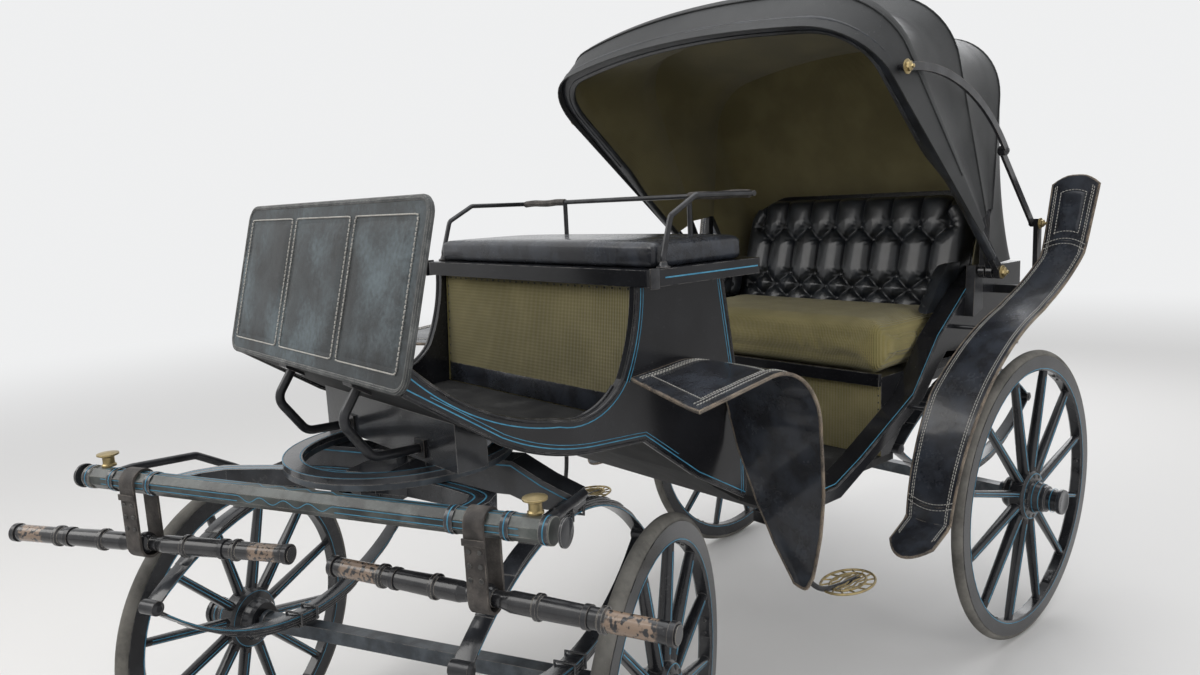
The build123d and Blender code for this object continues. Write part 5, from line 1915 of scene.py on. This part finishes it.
@dataclass
class WheelTrim:
    """Painted lines, bolts and plates of one wheel."""

    name: str
    body: Body
    centre: Vector
    axis: Vector
    radius: float

    def spot(self, angle: float, radial: float, out: float) -> Vector:
        """Point on the wheel: angle in degrees, distance from the axis and distance outward."""
        side = self.axis.cross(UP).normalized()
        turn = radians(angle)
        return self.centre + (side * cos(turn) + UP * sin(turn)) * radial + self.axis * out

    def turns(self, count: int, first: float) -> list[Matrix]:
        """Places of what repeats round the axis, modelled with the spoke up +Z and the axis along +X."""
        base = Matrix((self.axis, UP.cross(self.axis).normalized(), UP)).transposed().to_4x4()
        place = Matrix.Translation(self.centre) @ base
        turns = [radians(first + 360 * n / count) for n in range(count)]
        return [place @ Matrix.Rotation(turn, 4, "X") for turn in turns]

    def build(self) -> None:
        """Makes the lines on spokes and hub, the flange bolts and the felloes' plates."""
        rim_in = self.radius - 0.070
        strips = []
        for face in (1, -1):
            for shift in (-0.0042, 0.0042):

                def place(u: float, v: float, face: int = face, shift: float = shift) -> Vector:
                    """Point of a line along a spoke's face."""
                    radial = 0.100 + (rim_in - 0.020 - 0.100) * u
                    share = (radial - 0.068) / (rim_in - 0.068)
                    deep, wide = 0.020 - 0.006 * share, 0.013 - 0.002 * share
                    across = shift + (v - 0.5) * 0.0019
                    height = deep * sqrt(1 - (across / wide) ** 2) + LINE_LIFT
                    return Vector((face * height, across, radial))

                strips.append(painted(grid("line", 8, 1, place)))
        lines = spread(f"spoke_lines_{self.name}", settle(joined("lines", strips)), self.turns(12, 15))
        dress(lines, STRIPE, self.body)
        rings = []
        for out, radial, width in (
            (0.0264, 0.078, 0.0024), (0.0264, 0.063, 0.0018), (-0.0264, 0.078, 0.0024),
            (0.0204, rim_in + 0.008, 0.0024), (-0.0204, rim_in + 0.008, 0.0024),
        ):
            far = out + copysign(PAINT_THICK, out)
            profile = band(out, far, radial - width / 2, radial + width / 2)
            rings.append(turned("ring", profile, self.centre, self.axis, 64))
        for out, radial in ((0.040, 0.0552), (0.058, 0.0488), (0.092, 0.0402)):
            profile = band(out, out + 0.0022, radial, radial + 0.0007)
            rings.append(turned("ring", profile, self.centre, self.axis, 48))
        dress(joined(f"hub_lines_{self.name}", rings), STRIPE, self.body)
        head = turned("head", ((0, 0), (0, 0.0075), (0.003, 0.0075), (0.0045, 0.004), (0.0045, 0)), steps=6)
        spots = [facing(self.spot(30 * n, 0.070, 0.026), self.axis, n) for n in range(12)]
        dress(spread(f"flange_bolts_{self.name}", head, spots), NAIL, self.body)
        collars = []
        for profile in (
            ((0.062, 0.040), (0.062, 0.0445), (0.068, 0.0455), (0.074, 0.0445), (0.074, 0.036)),
            (
                (0.112, 0.036), (0.112, 0.0415), (0.118, 0.0425), (0.1255, 0.0415), (0.1265, 0.034),
                (0.1245, 0.030), (0.1245, 0.0),
            ),
        ):
            collars.append(turned("collar", profile, self.centre, self.axis, 32))
        dress(joined(f"cap_rings_{self.name}", collars), GEAR_PAINT, self.body)
        strap = plate("plate", corners(0.015, 0.030), (0, 0, 0.002), 0.0006)
        knob = turned("knob", ((0, 0), (0, 0.005), (0.003, 0.005), (0.004, 0.0)), steps=8)
        knobs = spread("knobs", knob, [Matrix.Translation((0, y, 0.002)) for y in (-0.018, 0.018)])
        unit = joined("plate", [strap, knobs])
        side = self.axis.cross(UP).normalized()
        moves = []
        for number in range(6):
            turn = radians(60 * number)
            out = side * cos(turn) + UP * sin(turn)
            along_rim = self.axis.cross(out)
            inward = Matrix((self.axis, along_rim, self.axis.cross(along_rim))).transposed().to_4x4()
            moves.append(Matrix.Translation(self.centre + out * (rim_in + 0.0004)) @ inward)
        dress(spread(f"rim_plates_{self.name}", unit, moves), WHEEL_PAINT, self.body)


@dataclass
class SpringPair:
    """Two full elliptic springs with separate leaves, eyes, clamps and painted lines."""

    name: str
    node: str
    body: Body
    centres: tuple[Vector, Vector]
    ahead: Vector
    tilt: float
    opening: float
    length: float = 0.476
    leaf: float = 0.0065
    width: float = 0.044

    def height(self, x: float) -> float:
        """Height of the main leaf's inner face over the eyes."""
        rise = self.opening - 0.026
        radius = (self.length**2 + rise**2) / (2 * rise)
        return sqrt(radius**2 - x * x) - (radius - rise)

    def half(self) -> Piece:
        """The upper half of one spring, x forward, y across and z up from its eyes."""
        leaves = []
        for number, share in enumerate((1.0, 0.82, 0.63, 0.44)):
            reach = self.length * share
            xs = [reach * (n / 14 - 1) for n in range(29)]
            lift = number * self.leaf
            low = [(x, -self.width / 2, self.height(x) + lift) for x in xs]
            ends = [self.leaf * min(1.0, 0.35 + (reach - abs(x)) / 0.05) for x in xs]
            taper = ends if number else [self.leaf + 0.001] * len(xs)
            high = [(x, -self.width / 2, self.height(x) + lift + t - 0.0005) for x, t in zip(xs, taper)]
            leaves.append(plate("leaf", low + high[::-1], (0, self.width, 0), 0.0007))
        top = self.opening
        w = self.width / 2 + 0.003
        block = plate("clamp", corners(0.042, w, top - 0.0005), (0, 0, 0.0065), 0.0015)
        over, under = top + 0.004, top - 0.0315
        bend = [(-w - 0.002, over), (-w - 0.002, under), (w + 0.002, under), (w + 0.002, over)]
        loops = [[(x, y, z) for y, z in bend] for x in (-0.030, 0.030)]
        bolts = tubes("bolts", loops, 0.0042)
        return joined("half", [*leaves, block, bolts])

    def build(self) -> None:
        """Makes both springs, their eyes and their lines."""
        across = UP.cross(self.ahead).normalized()
        base = Matrix((self.ahead, across, UP)).transposed().to_4x4()
        lean = Matrix.Rotation(radians(-self.tilt), 4, "Y")
        flip = Matrix.Rotation(pi, 4, "Y")
        moves = []
        for centre in self.centres:
            place = Matrix.Translation(centre) @ base @ lean
            moves += [place, place @ flip]
        stack = spread(f"spring_leaves_{self.name}", self.half(), moves)
        settle(stack, 0.000001)
        dress(stack, GEAR_PAINT, self.body, 30)
        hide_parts(self.node)
        near = ((-0.0265, 0), (-0.0265, 0.008), (-0.023, 0.012), (-0.022, 0.017))
        profile = (*near, *((-along_eye, radius) for along_eye, radius in reversed(near)))
        eye = turned("eye", profile, axis=(0, 1, 0), steps=20)
        spots = [
            Matrix.Translation(centre) @ base @ lean @ Matrix.Translation((end * self.length, 0, 0))
            for centre in self.centres for end in (-1, 1)
        ]
        dress(spread(f"spring_eyes_{self.name}", eye, spots), IRON, self.body)
        strips = []
        for face in (1, -1):

            def place(u: float, v: float, face: int = face) -> Vector:
                """Point of a line on the main leaf's edge."""
                x = self.length * 0.95 * (2 * u - 1)
                z = self.height(x) + 0.003 + (v - 0.5) * 0.0026
                return Vector((x, face * (self.width / 2 + LINE_LIFT), z))

            strips.append(painted(grid("line", 24, 1, place)))
        lines = spread(f"spring_lines_{self.name}", joined("lines", strips), moves)
        dress(settle(lines, 0.000001), STRIPE, self.body)


def eased(points: Points, rounds: int = 3) -> list[Vector]:
    """A path with its corners cut round, its ends kept."""
    path = [Vector(point) for point in points]
    for _ in range(rounds):
        cut = [path[0]]
        for a, b in zip(path, path[1:]):
            cut += [a.lerp(b, 0.25), a.lerp(b, 0.75)]
        path = [*cut, path[-1]]
    return path


def beside(path: Sequence[Flat], distance: float) -> list[Flat]:
    """A flat path moved to its left by a distance."""
    moved = []
    last = len(path) - 1
    for number, (x, z) in enumerate(path):
        ax, az = path[max(0, number - 1)]
        bx, bz = path[min(last, number + 1)]
        size = hypot(bx - ax, bz - az)
        moved.append((x - (bz - az) / size * distance, z + (bx - ax) / size * distance))
    return moved


def filled(path: Sequence[Flat], step: float = 0.03) -> list[Flat]:
    """A flat path with points added so that none are far apart."""
    found = []
    for (ax, az), (bx, bz) in zip(path, path[1:]):
        count = max(1, round(hypot(bx - ax, bz - az) / step))
        found += [(ax + (bx - ax) * n / count, az + (bz - az) * n / count) for n in range(count)]
    return [*found, path[-1]]


@dataclass
class BodyTrim:
    """Painted lines, mouldings and tacks of the body."""

    half: float = 0.450
    quarter: float = 0.550
    line: float = 0.0026
    bead: float = 0.0048

    def boot_top(self) -> list[Flat]:
        """The boot's top edge from the dashboard back and up the front pillar."""
        path = through((2.2089, 1.290), (2.040, 1.166), (1.850, 1.110), 20)
        path += through((1.850, 1.110), (1.735, 1.112), (1.660, 1.170), 12)[1:]
        return path + through((1.660, 1.170), (1.622, 1.268), (1.605, 1.380), 10)[1:]

    def boot_base(self) -> list[Flat]:
        """The boot's lower edge from the dashboard back to the sill."""
        path = filled([(2.2224, 1.2375), (2.010, 1.096)])
        path += through((2.010, 1.096), (1.885, 1.044), (1.740, 1.020), 12)[1:]
        return path + filled([(1.740, 1.020), (1.600, 1.012), (1.420, 0.878), (1.240, 0.777)])[1:]

    def pillar(self) -> list[Flat]:
        """The box's rear edge, from the ledge down."""
        return filled([(1.306, 1.376), (1.264, 1.128), (1.231, 0.931), (1.231, 0.790)])

    def sweep(self) -> list[Flat]:
        """The quarter's upper edge, from the sill up to the hood."""
        return filled([
            (1.225, 0.745), (0.960, 0.750), (0.830, 0.800), (0.540, 0.935), (0.390, 1.100), (0.197, 1.240),
            (0.060, 1.300),
        ])

    def strip(self, name: str, flat: Sequence[Flat], side: int, y: float, width: float | None = None) -> None:
        """A line on an upright side face."""
        path = [Vector((x, side * y, z)) for x, z in flat]
        ribbon(name, path, Vector((0, side, 0)), width or self.line, "carriage")

    def build(self) -> None:
        """Makes the lines, beads and tacks of both sides."""
        for name, side in SIDES:
            top, base, pillar, sweep = self.boot_top(), self.boot_base(), self.pillar(), self.sweep()
            self.strip(f"boot_line_{name}", beside(top, 0.013), side, self.half)
            self.strip(f"boot_low_line_{name}", beside(base, -0.012), side, self.half)
            self.strip(f"boot_second_line_{name}", beside(base[2:30], -0.020), side, self.half, 0.0015)
            self.strip(f"pillar_line_{name}", beside(pillar, 0.011), side, self.half)
            self.strip(f"pillar_second_line_{name}", beside(pillar, 0.019), side, self.half, 0.0018)
            self.strip(f"front_pillar_line_{name}", beside(top[30:], 0.021), side, self.half, 0.0018)
            self.strip(f"sweep_line_{name}", beside(sweep, -0.013), side, self.quarter)
            beads = [[(x, side * (self.half - 0.002), z) for x, z in path] for path in (top, base, pillar)]
            beads += [[(x, side * (self.quarter - 0.002), z) for x, z in sweep]]
            beads += [[(x, side * (self.half - 0.024), z) for x, z in top[:30]]]
            dress(tubes(f"body_beads_{name}", beads, self.bead), BODY_PAINT, "carriage")
        self.tacks()
        self.heel_strip()

    def heel_strip(self) -> None:
        """Black leather along the foot of the heel panel's cloth."""
        corners = ((-0.419, 1.0535), (0.419, 1.0535), (0.419, 1.110), (-0.419, 1.110))
        face = [(1.6008 - 0.0478 * (z - 1.058), y, z) for y, z in corners]
        dress(plate("heel_strip", face, (0.002, 0, 0), 0.0008), STITCHED_LEATHER, "carriage")

    def tacks(self) -> None:
        """Rows of small tacks that hold the cloth of the heel panel and the riser."""
        tack = turned("tack", ((0, 0), (0, 0.0034), (0.0012, 0.0028), (0.002, 0)), steps=8)
        spots = []
        for number in range(13):
            share = number / 12
            spots += [(1.6005 - 0.015 * share, side * 0.417, 1.058 + 0.314 * share) for _, side in SIDES]
        spots += [(1.5856, -0.40 + 0.8 * n / 28, 1.372) for n in range(29)]
        spots += [(0.6105, side * 0.470, 0.765 + 0.022 * n) for n in range(10) for _, side in SIDES]
        dress(spread("cloth_tacks", tack, [facing(spot, (1, 0, 0)) for spot in spots]), NAIL, "carriage")
        shares = [n / 10 for n in range(11)]
        cord = [[(1.6012 - 0.015 * s, side * 0.4215, 1.054 + 0.322 * s) for s in shares] for _, side in SIDES]
        cord += [[(1.5862, -0.42 + 0.84 * n / 10, 1.3775) for n in range(11)]]
        dress(tubes("heel_gimp", cord, 0.0032), KHAKI, "carriage")


@dataclass
class FrontGear:
    """Lines, clips, rivets and worn bars of the turning front carriage."""

    bar_x: float = 0.378
    bar_z: float = 0.996
    tree_track: float = 0.458
    tree_z: float = 0.848
    yaws: Flat = (-4.0, 7.0)
    line: float = 0.0032
    strap: float = 0.032

    def bow(self, forward: float, left: float) -> Vector:
        """Point on the bow's top, from its own plan."""
        slope = atan(0.1)
        return fore(0.18 + forward * cos(slope), left, 0.984 + forward * sin(slope))

    def build(self) -> None:
        """Makes every piece of the front gear's trim."""
        self.bow_lines()
        self.bar_lines()
        self.clips()
        self.rivets()
        self.trees()

    def bow_lines(self) -> None:
        """Pairs of blue lines along the bow, and one over the bed's front."""
        plan = (
            (-0.050, 0.0), (-0.050, 0.125), (-0.016, 0.245), (0.034, 0.362), (0.095, 0.386), (0.168, 0.386),
        )
        whole = [(x, -y, 0) for x, y in reversed(plan[1:])] + [(x, y, 0) for x, y in plan]
        middle = [(point.x, point.y) for point in eased(whole)]
        for name, shift in (("outer", 0.012), ("inner", -0.012)):
            path = [self.bow(*spot) for spot in beside(middle, shift)]
            ribbon(f"bow_line_{name}", path, UP, self.line, "forecarriage")
        rise = [(-0.445, 0.900), (-0.376, 0.928), (-0.296, 0.972)]
        arch = rise + [(-y, z) for y, z in reversed(rise)]
        path = [fore(-0.020, y, z) for y, z in filled(arch)]
        ribbon("bed_line", path, AHEAD, self.line, "forecarriage")
        for name, radius in (("inner", 0.236), ("outer", 0.276)):
            profile = band(0.0, PAINT_THICK, radius, radius + 0.0022)
            ring = turned(f"ring_line_{name}", profile, (STEERING.x, 0, 1.0126), UP, 72)
            dress(ring, STRIPE, "carriage")

    def bar_lines(self) -> None:
        """Blue lines and a waved one on the splinter bar's front and top."""
        for name, x, z, normal in (
            ("front", self.bar_x + 0.024, self.bar_z, AHEAD), ("top", self.bar_x, self.bar_z + 0.024, UP),
        ):
            for number, (start, end, shift) in enumerate(
                ((-0.55, -0.13, 0.006), (-0.55, -0.13, -0.006), (0.13, 0.55, 0.006), (0.13, 0.55, -0.006))
            ):
                level, upright = (shift, 0) if normal is UP else (0, shift)
                path = [fore(x + level, start + (end - start) * n / 10, z + upright) for n in range(11)]
                ribbon(f"bar_line_{name}_{number}", path, normal, 0.0018, "forecarriage")
            path = []
            for y in (-0.13 + 0.26 * n / 48 for n in range(49)):
                wave = 0.0062 * cos(y * pi / 0.0325)
                level, upright = (wave, 0) if normal is UP else (0, wave)
                path.append(fore(x + level, y, z + upright))
            ribbon(f"bar_scroll_{name}", path, normal, 0.0016, "forecarriage")

    def clips(self) -> None:
        """Iron clips round the splinter bar, and its ringed end caps."""
        along_bar = fore(0, 1, 0) - fore(0, 0, 0)
        bands, lines = [], []
        for y in (-0.600, -0.520, -0.400, 0.400, 0.520, 0.600):
            centre = fore(self.bar_x, y, self.bar_z)
            clip = ((-0.009, 0.024), (-0.009, 0.0275), (0.009, 0.0275), (0.009, 0.024))
            bands.append(turned("clip", clip, centre, along_bar))
            lines.append(turned("line", band(-0.0012, 0.0012, 0.0276, 0.0280), centre, along_bar))
        for side in (1, -1):
            centre = fore(self.bar_x, side * 0.634, self.bar_z)
            cap = ((-0.002, 0.026), (-0.002, 0.0285), (0.003, 0.0285), (0.006, 0.022), (0.0065, 0.0))
            bands.append(turned("cap", cap, centre, along_bar * side))
        dress(joined("bar_clips", bands), GEAR_PAINT, "forecarriage")
        dress(joined("clip_lines", lines), STRIPE, "forecarriage")

    def rivets(self) -> None:
        """Rivets through the leather straps, and round heads on the roller bolts."""
        rivet = turned("rivet", ((0, 0), (0, 0.0055), (0.002, 0.0048), (0.0036, 0.0)), steps=12)
        spots = []
        for side in (1, -1):
            for drop in (-0.046, -0.074, -0.102):
                for shift in (-0.012, 0.012):
                    for face in (1, -1):
                        y = side * self.tree_track + shift
                        place = fore(self.bar_x + face * self.strap, y, self.bar_z + drop)
                        spots.append(facing(place, AHEAD * face))
        dress(spread("strap_rivets", rivet, spots), NAIL, "forecarriage")
        keeper = plate("keeper", corners(0.025, 0.007), (0, 0, 0.004), 0.001)
        turn = Matrix.Rotation(TURN, 4, "Z") @ Matrix.Rotation(pi / 2, 4, "Z")
        moves = []
        for side in (1, -1):
            for face in (1, -1):
                place = fore(self.bar_x + face * self.strap, side * self.tree_track, self.bar_z - 0.028)
                moves.append(Matrix.Translation(place) @ turn @ Matrix.Rotation(face * pi / 2, 4, "X"))
        dress(spread("strap_keepers", keeper, moves), STRAP_LEATHER, "forecarriage")

    def trees(self) -> None:
        """The swingletrees' paint, rubbed bare where the traces lie, with iron rings."""
        for (name, side), yaw in zip(SIDES, self.yaws):
            turn = TURN + radians(yaw)
            axis = (-sin(turn), cos(turn), 0.0)
            centre = tuple(fore(self.bar_x, side * self.tree_track, self.tree_z))
            finish = RubbedFinish(
                f"rubbed_paint_{name}", "wheel_paint", Surface.WOOD, BLACK, (0.03, 0.03, 0.032),
                (0.3, 0.27, 0.23), GREY_DUST, 0.24, coat=0.45, bump=0.3, grain=60, wear=0.7, dusty=0.25,
                patch=6, centre=centre, axis=axis, band=(0.268, 0.372) if side > 0 else (0.300, 0.376),
            )
            repaint(finish, f"swingletree_{name}")
            rings = []
            for share in (-0.386, -0.22, 0.22, 0.386):
                place = Vector(centre) + Vector(axis) * share
                radius = 0.0212 if abs(share) < 0.3 else 0.0202
                rings.append(turned(
                    "ring", ((-0.006, radius - 0.002), (-0.006, radius + 0.0022), (0.006, radius + 0.0022),
                             (0.006, radius - 0.002)), place, axis, 24,
                ))
            dress(joined(f"tree_rings_{name}", rings), IRON, f"swing_{name}")


@dataclass
class Steps:
    """Open brass step plates on curved iron stems."""

    x: float = 0.940
    y: float = 0.575
    z: float = 0.470
    long: float = 0.100
    wide: float = 0.070
    inner: float = 0.030

    def build(self) -> None:
        """Makes both steps."""
        frames, stems = [], []
        for _, side in SIDES:
            frames.append(self.tread(side))
            stem = (
                (1.085, 0.515, 0.722), (1.085, 0.515, 0.640), (1.094, 0.522, 0.560), (1.070, 0.545, 0.490),
                (self.x + 0.075, 0.567, self.z - 0.004), (self.x - 0.055, self.y, self.z - 0.005),
            )
            stems.append([(x, side * y, z) for x, y, z in stem])
        plates = joined("step_treads", frames)
        dress(plates, BRASS, "carriage", 60)
        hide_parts("steps")
        dress(tubes("step_stems", stems, 0.0078, smooth=True, sides=3), IRON, "carriage")
        profile = ((0, 0), (0, 0.017), (0.006, 0.017), (0.012, 0.010), (0.02, 0.0085), (0.02, 0))
        boss = turned("boss", profile, steps=16)
        spots = [facing((1.085, side * 0.515, 0.716), (0, 0, -1)) for _, side in SIDES]
        dress(spread("step_bosses", boss, spots), IRON, "carriage")

    def oval(self, side: int, inset: float, turn: float) -> Point:
        """Point of a step's oval, at a distance inside its edge."""
        along, across = (self.long - inset) * cos(turn), (self.wide - inset) * sin(turn)
        return self.x + along, side * self.y + across, self.z

    def tread(self, side: int) -> Piece:
        """One open oval with bars and scrolls."""
        turns = [tau * n / 48 for n in range(48)]
        rings = [[self.oval(side, inset, turn) for turn in turns] for inset in (0.0042, self.inner)]
        loops = tubes("loops", rings, 0.0038, cyclic=True)
        bars = []
        for number in range(14):
            turn = tau * number / 14
            bars.append([self.oval(side, self.inner, turn), self.oval(side, 0.004, turn + 0.16)])
        for number in range(-3, 4):
            shift = number * 0.0115
            y = side * self.y + shift
            share = shift / (self.wide - self.inner)
            reach = (self.long - self.inner) * sqrt(max(0.0, 1 - share**2))
            waves = [(reach * (n / 4 - 1), 0.003 * sin(n * 1.6)) for n in range(9)]
            bars.append([(self.x + along_bar, y + wave, self.z) for along_bar, wave in waves])
        return joined("tread", [loops, tubes("bars", bars, 0.0026)])


@dataclass
class HoodIrons:
    """Nuts, washers and knuckles of the folding hood props."""

    pivot: Flat = (0.190, 1.296)
    nut: Flat = (0.8263, 1.8893)
    knuckle: Flat = (0.233, 1.676)
    bracket: Flat = (0.0, 1.440)

    def build(self) -> None:
        """Makes the fittings of both sides."""
        for name, side in SIDES:
            way = Vector((0, side, 0))
            nuts = (
                ("prop_nut", self.nut, 0.6835, 0.0135, "hood_front"),
                ("prop_foot_nut", self.bracket, 0.6902, 0.0125, "carriage"),
                ("hood_pin_nut", self.pivot, 0.6556, 0.0150, "carriage"),
            )
            for label, (x, z), y, radius, body in nuts:
                wide, bevelled = radius * 1.45, radius * 1.2
                disc = ((0, 0), (0, wide), (0.0025, wide), (0.0035, bevelled), (0.0035, 0))
                crown = ((0.013, radius * 0.8), (0.015, radius * 0.45), (0.020, radius * 0.4), (0.021, 0))
                cap = ((0.003, 0), (0.003, radius), (0.011, radius), *crown)
                spot = (x, side * y, z)
                pieces = [turned("washer", disc, spot, way), turned("knob", cap, spot, way, 6)]
                dress(joined(f"{label}_{name}", pieces), BRASS, body)
            x, z = self.knuckle
            profile = (
                (-0.004, 0), (-0.004, 0.012), (0.0, 0.0155), (0.019, 0.0155), (0.023, 0.012), (0.027, 0.006),
                (0.028, 0),
            )
            lump = turned("lump", profile, (x, side * 0.660, z), way, 20)
            dress(lump, IRON, f"prop_up_{name}")
            lump.name = f"prop_knuckle_{name}"


def paint_all() -> None:
    """Gives most CAD nodes their finish, the rest getting theirs with their pieces; pieces made above lie
    over these or stand for them.
    """
    repaint(RUBBER, *(f"tyre_{end}_{side}" for end in ("front", "rear") for side, _ in SIDES))
    repaint(WHEEL_PAINT, *(f"wheel_{end}_{side}" for end in ("front", "rear") for side, _ in SIDES))
    repaint(BODY_PAINT, "boot_sides", "quarter_left", "quarter_right", "box_back")
    repaint(FLOOR_PAINT, "body_floor", "boot_floor")
    repaint(GEAR_PAINT, "bow_bed", "transom", "front_springs", "rear_springs")
    repaint(AXLE_PAINT, "front_axle", "rear_axle", "turntable_ring")
    repaint(IRON, "bed_stays", "boot_irons", "rear_irons", "hood_brackets", "steps")
    repaint(IRON, *(f"prop_{part}_{side}" for part in ("lower", "upper") for side, _ in SIDES))
    repaint(BAR_WOOD, "splinter_bar")
    repaint(KHAKI, "heel_panel", "passenger_cushion")
    repaint(BRASS, "roller_bolts")
    repaint(STRAP_LEATHER, "strap_left", "strap_right")
    repaint(GLOSSY_LEATHER, "back_cushion", "squabs", "driver_cushion")
    repaint(DASH_LEATHER, "dashboard")
    leaves = [f"{leaf}_{side}" for leaf in ("front_wing", "rear_guard") for side, _ in SIDES]
    repaint(STITCHED_LEATHER, *leaves)


def main() -> None:
    """Builds the studio and dresses the carriage from the top down."""
    logging.basicConfig(level=logging.INFO, format="%(name)s: %(message)s")
    paint_all()
    Studio().build()
    Hood().build()
    RearSeat().build()
    DriverSeat().build()
    Dashboard().build()
    BodyTrim().build()
    FrontGear().build()
    Steps().build()
    HoodIrons().build()
    Guards().build()
    for name, side in SIDES:
        for end in ("front", "rear"):
            joint = joint_named(f"wheel_{end}_{name}_spin")
            centre, out = Vector(joint["pos_m"]), Vector(joint["axis"]) * side
            radius = REAR_RADIUS if end == "rear" else FRONT_RADIUS
            WheelTrim(f"{end}_{name}", f"wheel_{end[0]}{name[0]}", centre, out, radius).build()
    rear = tuple(Vector((0, side * 0.450, 0.737)) for _, side in SIDES)
    front = tuple(fore(-0.055, side * 0.416, 0.667) for _, side in SIDES)
    SpringPair("rear", "rear_springs", "carriage", rear, Vector((1, 0, 0)), 0.0, 0.197).build()
    SpringPair("front", "front_springs", "forecarriage", front, AHEAD, 5.5, 0.205).build()
    LOG.info("built")


if __name__ == "__main__":
    main()
